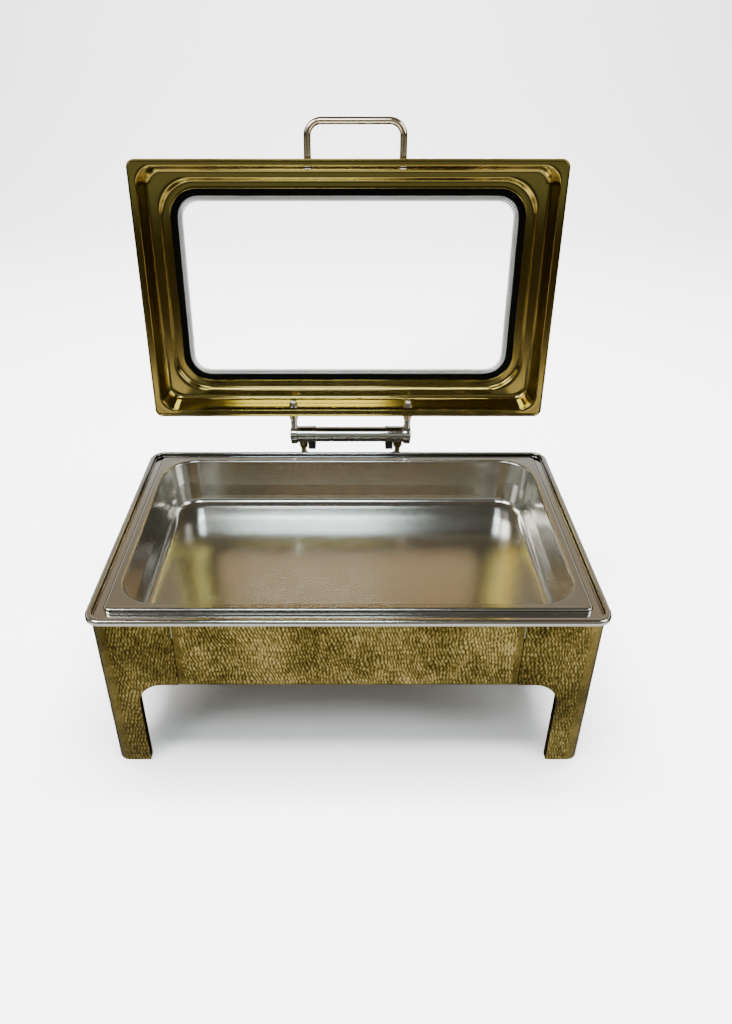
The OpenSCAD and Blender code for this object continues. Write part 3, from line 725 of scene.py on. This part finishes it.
def food_pan():
    """Flange with a turned-down edge, leaning walls and a floor, then the same from below."""
    lo, hi = mm_box("food_pan")
    a, b = (hi[0] - lo[0]) / 2, (hi[1] - lo[1]) / 2
    t = hi[2]
    above = [(0.8, 7.4, t - 6.4), (0.1, 8, t - 6.3), (0, 8, t - 5.8), (0, 8, t - 3.4)]
    above += [(3 - 3 * math.cos(w), 8 - (3 - 3 * math.cos(w)) * 0.9, t - 3 + 3 * math.sin(w))
              for w in np.linspace(0.15, QUARTER, 7)]
    above += [(4.2, 8, t), (6.0, 20, t - 0.1), (8.2, 38, t - 0.15)]
    above += [(9.0 + 3 * math.sin(w), 45 - 3 * math.sin(w), t - 3 + 2.9 * math.cos(w))
              for w in np.linspace(0.1, QUARTER * 0.93, 7)]
    above += [(14.0, 40.4, t - 20), (16.5, 38.4, t - 40), (18.7, 36.6, t - 54.0)]
    above += [(19.0 + 10 * (1 - math.cos(w)), 36.2 - 9 * (1 - math.cos(w)), t - 55 - 10 * math.sin(w))
              for w in np.linspace(0.15, QUARTER, 8)]
    above += [(33, 24, t - 65.05), (36, 22, t - 65.35), (60, 16, t - 65.3), (110, 8, t - 65.1),
              (145, 4, t - 65.0)]
    v, f = loft(sized(above, a, b), closed=False, floor=True, n=16)
    shell = Build().add(v, f)
    below = [(0.8, 7.4, t - 6.4), (1, 7, t - 3), (3, 5.5, t - 1), (9, 46, t - 1.1), (11, 43, t - 3.2),
             (19, 37, t - 56), (29, 27, t - 66), (145, 4, t - 66)]
    v, f = loft(sized(below, a, b), closed=False, floor=True, n=16)
    shell.add(v, f)
    piece("food_pan_shell", shell.verts(), shell.f, brushed, "food_pan", "stainless", ("food_pan",), sharp=60)


water_pan()
food_pan()


# ---------------------------------------------------------------- lid

LID_A, LID_B = 274.5, 172.0


def lid_level(i, r, t):
    """A level of the closed lid: inset from its edge, corner radius, height above its flange."""
    return (LID_A - i, LID_B - i, r, LID_Z + t)


def lid():
    """The pressing, from the flange's edge over the inside to the window and back outside."""
    inner = [(0.55, 9.5, -3.95), (0.95, 9.1, -3.6), (1.0, 9, -0.9), (1.25, 8.8, -0.3), (1.9, 8.3, 0.0),
             (4.2, 12, 0.0), (7.0, 20, 0.0), (7.8, 23.5, 0.12), (8.3, 25, 0.5), (8.55, 25.2, 1.2),
             (9.6, 24.2, 6.5), (10.7, 23, 12.5), (11.9, 21.8, 19), (13.1, 20.6, 25)]
    inner += [(13.3 + 6.2 * (1 - math.cos(w)), 20.4 - 5 * (1 - math.cos(w)), 26 + 6 * math.sin(w))
              for w in np.linspace(0.12, QUARTER, 8)]
    inner += [(20.3, 24, 32.0), (24.6, 40, 32.0), (25.9, 45, 32.05), (26.6, 46.6, 32.4),
              (27.3, 46.8, 33.2), (28.2, 46.2, 34.8), (29.0, 45.6, 36.0), (29.9, 44.8, 36.7),
              (31.0, 43.9, 36.95), (32.6, 42.6, 37.0), (35.5, 40.3, 37.0), (38.2, 38.2, 37.0),
              (39.2, 37.5, 36.85), (39.7, 37.1, 36.9), (40.0, 37, 37.3)]
    outer = [(40.0, 37, 37.7), (39.5, 37.4, 38.0), (35, 40.8, 38.0), (31.0, 44, 38.0),
             (29.6, 45.3, 37.7), (28.4, 46.2, 36.6), (27.0, 47.2, 34.2), (26.0, 47.3, 33.2),
             (24.8, 42, 33.0), (19.5, 22, 33.0)]
    outer += [(12.3 + 7.2 * (1 - math.cos(w)), 21.4 - 5 * (1 - math.cos(w)), 26 + 7 * math.sin(w))
              for w in np.linspace(QUARTER, 0.1, 8)]
    outer += [(10.9, 22.6, 19), (9.6, 24, 12.5), (8.6, 25, 6.5), (7.7, 25.8, 2.0), (7.2, 25.8, 1.2),
              (6.2, 22, 1.0), (3.5, 12, 1.0), (1.6, 9.2, 1.0), (0.7, 9.6, 0.8), (0.15, 9.9, 0.3),
              (0, 10, -0.4), (0, 10, -3.4), (0.2, 9.8, -3.85)]
    levels = [lid_level(i, r, t) for i, r, t in inner + outer]
    v, f = loft(levels, closed=True, n=18, long_n=30, short_n=20)
    piece("lid_pressing", v, f, lid_brass, "lid", "lid_brass", ("lid_shell",), lid=True, sharp=70)


lid()


PANE_Z = 39.0          # underside of the pane, above the closed lid's flange
BORDER_IN = 49.7       # inner edge of the black border, from the lid's edge
BORDER_R = 28.5
DOT_PITCH = 3.5
DOT_ROWS = [(50.9, 1.72), (53.1, 1.62), (55.2, 1.36)]     # distance from the lid's edge, radius
DOT_SIDES = 8


def window():
    """The pane, its black border fading out in dots, and the seal it lies on."""
    pane = [(29.9, 42.4, 0), (29.2, 42.9, 0.4), (29.0, 43, 1.2), (29.0, 43, 2.8), (29.2, 42.9, 3.6),
            (29.9, 42.4, 4)]
    v, f = loft([lid_level(i, r, PANE_Z + t) for i, r, t in pane], closed=False, n=14)
    count = len(v) // len(pane)
    f.append(tuple(range(count)))
    f.append(tuple(count * (len(pane) - 1) + k for k in range(count)))
    piece("window_pane", v, f, clear_glass, "lid", "window_glass", ("window_glass",), lid=True, sharp=40)
    band = [(30.2, 42.4, 38.99), (BORDER_IN, BORDER_R, 38.99), (BORDER_IN, BORDER_R, 38.93),
            (30.2, 42.4, 38.93)]
    v, f = loft([lid_level(*e) for e in band], closed=True, n=14)
    border = Build().add(v, f)
    turns = [2 * math.pi * k / DOT_SIDES for k in range(DOT_SIDES)]
    ends = [tuple(reversed(range(DOT_SIDES))), tuple(range(DOT_SIDES, 2 * DOT_SIDES))]
    sides = [(k, (k + 1) % DOT_SIDES, DOT_SIDES + (k + 1) % DOT_SIDES, DOT_SIDES + k)
             for k in range(DOT_SIDES)]
    for row, (inset, r) in enumerate(DOT_ROWS):
        a, b, rc = LID_A - inset, LID_B - inset, BORDER_R - (inset - BORDER_IN)
        ring = rounded_ring(a, b, rc, 40, 400, 260)
        ring.append(ring[0])
        length = [0.0]
        for p, q in zip(ring[:-1], ring[1:]):
            length.append(length[-1] + math.hypot(q[0] - p[0], q[1] - p[1]))
        count = int(length[-1] / DOT_PITCH)
        marks = (np.arange(count) + 0.5 * (row % 2)) * length[-1] / count
        xs = np.interp(marks, length, [p[0] for p in ring])
        ys = np.interp(marks, length, [p[1] for p in ring])
        for x, y in zip(xs, ys):
            border.add([(CX + x + r * math.cos(t), CY + y + r * math.sin(t), LID_Z + z)
                        for z in (38.80, 38.98) for t in turns], ends + sides)
    piece("window_border", border.verts(), border.f, frit_black, "lid", "black_rubber", (), lid=True,
          weighted=False, smooth=False)
    seal = [(31, 41, 38.02), (30.6, 41.4, 38.5), (31, 41, 38.92), (37.0, 39, 38.92), (37.5, 38.6, 38.5),
            (37.0, 39, 38.02)]
    v, f = loft([lid_level(*e) for e in seal], closed=True, n=14)
    piece("window_seal", v, f, rubber, "lid", "black_rubber", ("window_gasket",), lid=True,
          weighted=False, sharp=60)


window()


# ---------------------------------------------------------------- handle

WALL_IN = 8.5          # foot of the lid's wall, from the flange's edge
HANDLE_X = 9.0
ROD_Z = LID_Z + 17
ROD_R = 4.5
HALF = 60.0            # from the handle's middle to either end
REACH = 42.0           # of the handle, past the flange's edge
ROOT_Y = CY - LID_B + WALL_IN - 4.2


def handle():
    """A bent rod with a collar at each end, and the screws that hold it from inside."""
    reach = CY - LID_B - REACH
    bend = 17.5
    path = [(HANDLE_X - HALF, ROOT_Y, ROD_Z), (HANDLE_X - HALF, (ROOT_Y + reach + bend) / 2, ROD_Z)]
    path += [(HANDLE_X - HALF + bend - bend * math.cos(a), reach + bend - bend * math.sin(a), ROD_Z)
             for a in np.linspace(0, QUARTER, 15)]
    path += [(HANDLE_X, reach, ROD_Z)]
    path += [(HANDLE_X + HALF - bend + bend * math.sin(a), reach + bend - bend * math.cos(a), ROD_Z)
             for a in np.linspace(0, QUARTER, 15)]
    path += [(HANDLE_X + HALF, (ROOT_Y + reach + bend) / 2, ROD_Z), (HANDLE_X + HALF, ROOT_Y, ROD_Z)]
    v, f = tube(path, ROD_R, 32)
    piece("handle_bar", v, f, gold, "lid", "handle_gold", ("lid_handle",), lid=True, weighted=False, sharp=50)
    collars, screws = Build(), Build()
    tilt = math.atan(5 / 26)
    wall = (0, -math.cos(tilt), -math.sin(tilt))
    for k in (-1, 1):
        x = HANDLE_X + k * HALF
        prof = [(4.6, 0.0), (6.2, 0.0), (6.8, -0.5), (7.0, -1.2), (7.0, -5.4), (6.7, -6.3), (4.6, -6.3)]
        collars.add(*lathe(prof, (x, ROOT_Y, ROD_Z), FORWARD, 40, closed=True))
        head = [(5 * math.sin(a), -2.5 * math.cos(a)) for a in np.linspace(0.15, QUARTER, 9)]
        prof = [(0, -2.5)] + head + [(5, 0.6), (0, 0.6)]
        screws.add(*lathe(prof, (x, CY - LID_B + WALL_IN + 3.95, ROD_Z), wall, 40))
    piece("handle_collar_pair", collars.verts(), collars.f, gold, "lid", "handle_gold", ("handle_collars",),
          lid=True, sharp=40)
    piece("handle_screw_heads", screws.verts(), screws.f, chrome, "lid", "hinge_chrome", ("handle_screws",),
          lid=True, sharp=40)


handle()


# ---------------------------------------------------------------- hinge

AXIS = (HX, HY, HZ)
TUBE_HALF = 76.5
TUBE_R, TUBE_BORE = 11, 9
KNUCKLE_X = 82.0       # middle of a knuckle, its spacer and stud, from the hinge's middle
POST_X = 69.0
BOLT_X, BOLT_YS = 67.6, (-15, 14)
SHELF_SCREWS = (-80, -30, 30, 80)
STUD_R = 3.0
STUD_Y = HY - 10
STUD_Z = LID_Z + 8
NUT_Y = CY + LID_B - WALL_IN - 3.6


def chrome_piece(name, b, body, replaces, **more):
    """A polished piece of the hinge."""
    piece(name, b.verts(), b.f, chrome, body, "hinge_chrome", replaces, **more)


def hinge_bracket(side, tag):
    """The sleeve round the tube, its post with a hexagonal collar, its foot and the dark block."""
    prof = [(11.02, 51), (12.2, 51), (12.7, 51.4), (12.8, 52), (12.8, 53.4), (12.6, 53.9), (12.05, 54.2),
            (12.0, 55), (12.0, 75.6), (11.6, 76.3), (11.02, 76.5)]
    b = Build().add(*lathe([(r, side * h) for r, h in prof], AXIS, ALONG_X, 64, closed=True))
    chrome_piece("bracket_sleeve_" + tag, b, "stand", (), sharp=35)
    lo, hi = mm_box("hinge_bracket_" + tag)
    neck = sorted((HX + side * 62.5, HX + side * 75.5))
    foot = sorted((HX + side * 60, HX + side * 77))
    b = Build()
    b.add(*slab((neck[0], HY - 7, HZ - 15), (neck[1], HY + 7, HZ - 8)))
    b.add(*slab((foot[0], lo[1], lo[2]), (foot[1], hi[1], lo[2] + 4)))
    chrome_piece("bracket_foot_" + tag, b, "stand", ("hinge_bracket_" + tag,), bevel=0.9, smooth=False)
    post = (HX + side * POST_X, HY, 0)
    prof = [(0, lo[2] + 4), (5.2, lo[2] + 4), (4.5, lo[2] + 4.6), (4, lo[2] + 5.6), (4, HZ - 21),
            (4, HZ - 15), (0, HZ - 15)]
    b = Build().add(*lathe(prof, post, UP, 32))
    b.add(*hexagon(10.4, HZ - 21, HZ - 15, post, UP, 0.3))
    chrome_piece("bracket_post_" + tag, b, "stand", (), sharp=30)
    b = Build().add(*slab(*mm_box("hinge_pad_" + tag)))
    piece("bracket_block_" + tag, b.verts(), b.f, rubber, "stand", "black_rubber", ("hinge_pad_" + tag,),
          bevel=0.8, smooth=False)


def lid_fixing(side, tag):
    """A knuckle at the tube's end with the stud, spacer and nut that carry the lid."""
    prof = [(5.05, 77), (12.4, 77), (13.5, 77.5), (14.0, 78.4), (14.0, 85.6), (13.4, 86.6), (12.2, 87),
            (5.05, 87)]
    b = Build().add(*lathe([(r, side * h) for r, h in prof], AXIS, ALONG_X, 64, closed=True))
    x = HX + side * KNUCKLE_X
    neck = [(0, -2), (4.5, -2), (4.5, 12), (4.1, 12.9), (3.1, 13.2), (0, 13.2)]
    b.add(*lathe(neck, (x, HY - 13, STUD_Z), FORWARD, 32))
    chrome_piece("knuckle_" + tag, b, "lid", ("hinge_knuckle_" + tag,), lid=True, sharp=35)
    prof = [(3.1, 0), (5.2, 0), (5.8, 0.4), (6.0, 1.0), (6.0, 16.6), (5.6, 17.3), (3.1, 17.3)]
    b = Build().add(*lathe(prof, (x, HY - 26.1, STUD_Z), FORWARD, 40, closed=True))
    piece("spacer_" + tag, b.verts(), b.f, gold, "lid", "handle_gold", ("lid_spacer_" + tag,), lid=True,
          sharp=35)
    place = (x, NUT_Y, STUD_Z)
    washer = [(3.0, -1.6), (6.2, -1.6), (6.5, -1.3), (6.5, -0.2), (6.3, 0.02), (3.0, 0.02)]
    b = Build().add(*lathe(washer, place, FORWARD, 40, closed=True))
    b.add(*hexagon(9.96, 0.0, 4.0, place, FORWARD, math.pi / 6))
    dome = [(4.95 * math.cos(a), 4 + 4.95 * math.sin(a)) for a in np.linspace(0, QUARTER, 11)[:-1]]
    b.add(*lathe([(4.95, 3.6)] + dome + [(0, 8.95)], place, FORWARD, 40))
    chrome_piece("stud_nut_" + tag, b, "lid", ("lid_nut_" + tag,), lid=True, sharp=30)
    b = Build().add(*lathe(rod(STUD_R, 0, STUD_Y - NUT_Y + 4.9, 0.4), (x, STUD_Y, STUD_Z), FORWARD, 32))
    chrome_piece("stud_" + tag, b, "lid", ("lid_stud_" + tag,), lid=True, sharp=35)


def hinge_parts():
    """The damper tube, both its sides, the end caps and the shelf that carries it all."""
    prof = sleeve(TUBE_R, TUBE_BORE, -TUBE_HALF, TUBE_HALF, 0.6)
    b = Build().add(*lathe(prof, AXIS, ALONG_X, 64, closed=True))
    chrome_piece("damper_tube", b, "stand", ("hinge_tube",), sharp=40)
    for side, tag in ((1, "right"), (-1, "left")):
        hinge_bracket(side, tag)
        lid_fixing(side, tag)
    b = Build()
    for side in (-1, 1):
        dome = [(9 * math.sin(a), 87.4 + 1.1 * math.cos(a)) for a in np.linspace(0.15, QUARTER, 8)]
        cap = [(0, 88.5)] + dome + [(9, 87), (0, 87)]
        b.add(*lathe([(r, side * h) for r, h in cap], AXIS, ALONG_X, 48))
    chrome_piece("knuckle_end_caps", b, "lid", ("knuckle_caps",), lid=True, sharp=35)
    plo, phi = mm_box("hinge_plate")
    b = Build()
    for side in (-1, 1):
        for dy in BOLT_YS:
            p = (HX + side * BOLT_X, HY + dy, phi[2])
            b.add(*hexagon(8.0, 4.0, 7.6, p, UP))
            b.add(*lathe(sleeve(4.6, 2.6, 3.95, 4.5, 0.1), p, UP, 32, closed=True))
            b.add(*hexagon(8.0, -6.4, -2.5, p, UP))
    chrome_piece("bracket_bolt_heads", b, "stand", ("bracket_bolts",), sharp=30)
    b = Build()
    b.add(*slab(plo, (phi[0], plo[1] + 2.5, phi[2] - 0.05)))
    b.add(*slab((plo[0], plo[1], phi[2] - 2.5), phi))
    chrome_piece("hinge_shelf", b, "stand", ("hinge_plate",), bevel=0.7, smooth=False)
    b = Build()
    slo, shi = mm_box("hinge_plate_screws")
    zc = (slo[2] + shi[2]) / 2
    head = [(4.5 * math.sin(a), 2.5 + 2.6 * math.cos(a)) for a in np.linspace(0.1, QUARTER, 8)]
    for dx in SHELF_SCREWS:
        b.add(*lathe([(0, 5.1)] + head + [(0, 2.5)], (HX + dx, plo[1], zc), (0, 1, 0), 32))
    chrome_piece("hinge_shelf_screws", b, "stand", ("hinge_plate_screws",), sharp=35)


hinge_parts()


# ---------------------------------------------------------------- burners

def burner(tag):
    """A fuel cup with a lug at its back, the pin in it and the cap that swings over the cup."""
    lo, hi = mm_box("fuel_cup_" + tag)
    cx, base, h = (lo[0] + hi[0]) / 2, lo[2], hi[2] - lo[2]
    r = (hi[0] - lo[0]) / 2
    cy = lo[1] + r
    pivot_y = cy + r + 5
    prof = [(0, 0.35), (r - 14, 0.3), (r - 12, 0.0), (r - 3, 0.0), (r - 1, 0.5), (r, 2.2), (r, 8),
            (r - 0.8, 10), (r - 0.8, h - 12), (r, h - 10), (r, h - 1.0), (r - 0.4, h - 0.2), (r - 0.9, h),
            (r - 1.4, h - 0.4), (r - 1.5, h - 1.4), (r - 1.5, 5), (r - 2.6, 2.6), (r - 5, 1.6), (0, 1.5)]
    b = Build().add(*lathe(prof, (cx, cy, base), UP, 72))
    b.add(*lathe(sleeve(5, 2.02, h - 8, h, 0.5), (cx, pivot_y, base), UP, 32, closed=True))
    b.add(*slab((cx - 4.4, cy + r - 1.2, base + h - 7.8), (cx + 4.4, cy + r + 1.5, base + h - 0.2)))
    piece("fuel_holder_" + tag, b.verts(), b.f, brushed, "burner_" + tag, "stainless",
          ("fuel_cup_" + tag,), sharp=40)
    plo, phi = mm_box("snuffer_pin_" + tag)
    pin = ((plo[0] + phi[0]) / 2, (plo[1] + phi[1]) / 2, phi[2])
    head = [(3.5 * math.sin(a), -1.6 + 1.6 * math.cos(a)) for a in np.linspace(0.2, QUARTER, 6)]
    b = Build().add(*lathe([(0, 0)] + head + [(2, -1.7), (2, -10), (0, -10)], pin, UP, 32))
    chrome_piece("snuffer_rivet_" + tag, b, "burner_" + tag, ("snuffer_pin_" + tag,), sharp=40)
    clo, chi = mm_box("snuffer_cap_" + tag)
    cap_r, z0, z1 = r + 1, clo[2], chi[2]
    prof = [(0, z1 - 0.25), (cap_r - 12, z1 - 0.25), (cap_r - 10, z1), (cap_r - 1.0, z1),
            (cap_r - 0.2, z1 - 0.4), (cap_r, z1 - 0.8), (cap_r - 0.2, z0 + 0.2), (cap_r - 0.8, z0), (0, z0)]
    b = Build().add(*lathe(prof, (cx, cy, 0), UP, 72))
    b.add(*slab((cx - 4.9, clo[1] + 0.1, z0 + 0.1), (cx + 4.9, cy - cap_r + 4, z1 - 0.1)))
    b.add(*slab((cx - 5.8, cy + cap_r - 4, z0 + 0.1), (cx + 5.8, pivot_y, z1 - 0.1)))
    b.add(*lathe(sleeve(6, 2.04, z0, z1, 0.3), (pin[0], pin[1], 0), UP, 40, closed=True))
    piece("snuffer_plate_" + tag, b.verts(), b.f, brushed, "snuffer_" + tag, "stainless",
          ("snuffer_cap_" + tag,), sharp=40)


burner("right")
burner("left")


# ---------------------------------------------------------------- plain pieces

# These are shown as they stand in the CAD, with eased edges.
# The seam strips take the hammered brass without relief values, which comes out dark: painted shade in the
# gaps between the sheets.
for node, mat in [("top_frame", zinc), ("seam_strips", hammered_brass), ("fuel_shelf", zinc),
                  ("shelf_hanger_left", zinc), ("shelf_hanger_right", zinc), ("damper_partition", zinc),
                  ("damper_vane", zinc), ("damper_bushes", bronze), ("damper_shaft", chrome),
                  ("hanger_screws", chrome)]:
    obj = frame["nodes"][node]
    for holder in obj.material_slots:
        holder.material = mat
    if not obj.material_slots:
        obj.data.materials.append(mat)
    mod = obj.modifiers.new("edges", "BEVEL")
    mod.width = 0.25 * MM
    mod.segments = 2
    mod.limit_method = "ANGLE"


# ---------------------------------------------------------------- stage and light

def stage():
    """A pale sweep that metal doesn't reflect. Where a reflection looks through the pane at it, it is
    dimmer and warmer than the camera sees it, as a tabletop in a room."""
    m = Mat("studio_floor")
    m.b.inputs["Roughness"].default_value = 0.9
    m.b.inputs["Specular IOR Level"].default_value = 0.1
    path = m.node("ShaderNodeLightPath")
    bounced = m.math("MINIMUM", path.outputs["Glossy Depth"], 1.0)
    tint = m.node("ShaderNodeMix", data_type="RGBA")
    tint.inputs[6].default_value = (0.89, 0.89, 0.89, 1)
    tint.inputs[7].default_value = (0.30, 0.215, 0.125, 1)
    m.t.links.new(bounced, tint.inputs[0])
    m.t.links.new(tint.outputs[2], m.b.inputs["Base Color"])
    prof = [(-4.0, 0.0), (2.2, 0.0)]
    prof += [(2.2 + 1.6 * math.sin(a), 1.6 - 1.6 * math.cos(a)) for a in np.linspace(0.1, QUARTER, 14)]
    prof += [(3.8, 5.0)]
    verts = [(x, y, z - 0.0002) for y, z in prof for x in (-7, 7)]
    mesh = bpy.data.meshes.new("studio_floor")
    mesh.from_pydata(verts, [], grid(len(prof), 2))
    mesh.materials.append(m.m)
    mesh.shade_smooth()
    obj = bpy.data.objects.new("studio_floor", mesh)
    obj.visible_glossy = False
    bpy.context.scene.collection.objects.link(obj)


stage()


def area(name, place, aim, size, power, tone=(1, 1, 1)):
    """A rectangular softbox at a place, turned towards aim."""
    light = bpy.data.lights.new(name, "AREA")
    light.shape = "RECTANGLE"
    light.size, light.size_y = size
    light.energy = power
    light.color = tone
    obj = bpy.data.objects.new(name, light)
    obj.location = place
    obj.rotation_euler = (Vector(aim) - Vector(place)).to_track_quat("-Z", "Y").to_euler()
    bpy.context.scene.collection.objects.link(obj)
    return obj


area("key", (-1.5, -1.1, 2.2), (0, 0, 0.2), (1.2, 1.2), 45, (1, 0.985, 0.96))
area("fill", (1.9, -0.8, 1.6), (0, 0, 0.2), (0.9, 1.5), 20, (0.96, 0.98, 1))
for wash in (area("overhead", (0, -0.1, 2.8), (0, 0, 0), (2.4, 1.6), 470),
             area("backdrop_wash", (0, 0.4, 2.9), (0, 3.2, 0.9), (3.0, 0.8), 320)):
    wash.visible_glossy = False
area("window_light", (-0.15, -1.13, 2.01), (0, 0.1, 0.19), (0.62, 0.46), 14.0, (0.78, 0.92, 1))


def studio_world():
    """A room for polished metal to see: dark table, olive-beige wall behind, pale ceiling."""
    world = bpy.data.worlds.new("studio")
    world.use_nodes = True
    t = world.node_tree
    tc = t.nodes.new("ShaderNodeTexCoord")
    sep = t.nodes.new("ShaderNodeSeparateXYZ")
    t.links.new(tc.outputs["Generated"], sep.inputs[0])

    def unit(axis):
        n = t.nodes.new("ShaderNodeMath")
        n.operation = "MULTIPLY_ADD"
        n.inputs[1].default_value = 0.5
        n.inputs[2].default_value = 0.5
        t.links.new(sep.outputs[axis], n.inputs[0])
        return n.outputs[0]

    def ramp(fac, stops):
        r = t.nodes.new("ShaderNodeValToRGB")
        while len(r.color_ramp.elements) < len(stops):
            r.color_ramp.elements.new(0.5)
        for e, (p, c) in zip(r.color_ramp.elements, stops):
            e.position = p
            e.color = (*c, 1)
        t.links.new(fac, r.inputs["Fac"])
        return r.outputs["Color"]

    height = unit("Z")
    back = ramp(height, [(0.48, (0.012, 0.010, 0.006)), (0.60, (0.07, 0.060, 0.045)),
                         (0.66, (0.40, 0.41, 0.40)), (0.70, (1.05, 1.10, 1.12)),
                         (0.735, (0.95, 0.97, 0.95)), (0.765, (0.42, 0.35, 0.25)),
                         (0.82, (0.36, 0.29, 0.20)), (0.90, (0.10, 0.075, 0.045)),
                         (0.98, (0.10, 0.08, 0.06))])
    front = ramp(height, [(0.10, (1.15, 1.10, 1.0)), (0.300, (1.28, 1.23, 1.08)),
                          (0.334, (0.38, 0.34, 0.23)), (0.343, (0.42, 0.38, 0.26)),
                          (0.352, (1.60, 1.50, 1.25)), (0.358, (1.30, 1.20, 0.98)),
                          (0.370, (0.34, 0.30, 0.21)), (0.385, (0.06, 0.05, 0.03)),
                          (0.450, (0.05, 0.042, 0.026)), (0.468, (0.26, 0.28, 0.21)),
                          (0.477, (0.38, 0.42, 0.31)), (0.487, (0.15, 0.14, 0.10)),
                          (0.50, (0.03, 0.026, 0.018)), (0.55, (0.03, 0.026, 0.018)),
                          (0.60, (0.30, 0.32, 0.26)), (0.64, (0.52, 0.56, 0.46)),
                          (0.70, (0.26, 0.26, 0.22)), (0.76, (0.13, 0.12, 0.10)),
                          (0.86, (0.13, 0.12, 0.10)), (0.98, (0.10, 0.08, 0.06))])
    side = ramp(unit("Y"), [(0.40, (0, 0, 0)), (0.60, (1, 1, 1))])
    mix = t.nodes.new("ShaderNodeMix")
    mix.data_type = "RGBA"
    t.links.new(side, mix.inputs[0])
    t.links.new(front, mix.inputs[6])
    t.links.new(back, mix.inputs[7])
    t.links.new(mix.outputs[2], t.nodes["Background"].inputs["Color"])
    t.nodes["Background"].inputs["Strength"].default_value = 1.0
    bpy.context.scene.world = world


studio_world()


def photo_camera():
    """The camera that was fitted to the photograph: in front of the pans, looking down at them."""
    cam = bpy.data.cameras.new("camera")
    cam.lens = 27.446
    cam.sensor_width = 36
    cam.shift_x = 0.0174
    cam.shift_y = -0.0440
    cam.dof.use_dof = False
    cam.clip_end = 50
    camera = bpy.data.objects.new("camera", cam)
    camera.location = (CX * MM, (CY - 798.36) * MM, 0.78876)
    camera.rotation_euler = (math.radians(58.88), 0, 0)
    bpy.context.scene.collection.objects.link(camera)
    bpy.context.scene.camera = camera


photo_camera()
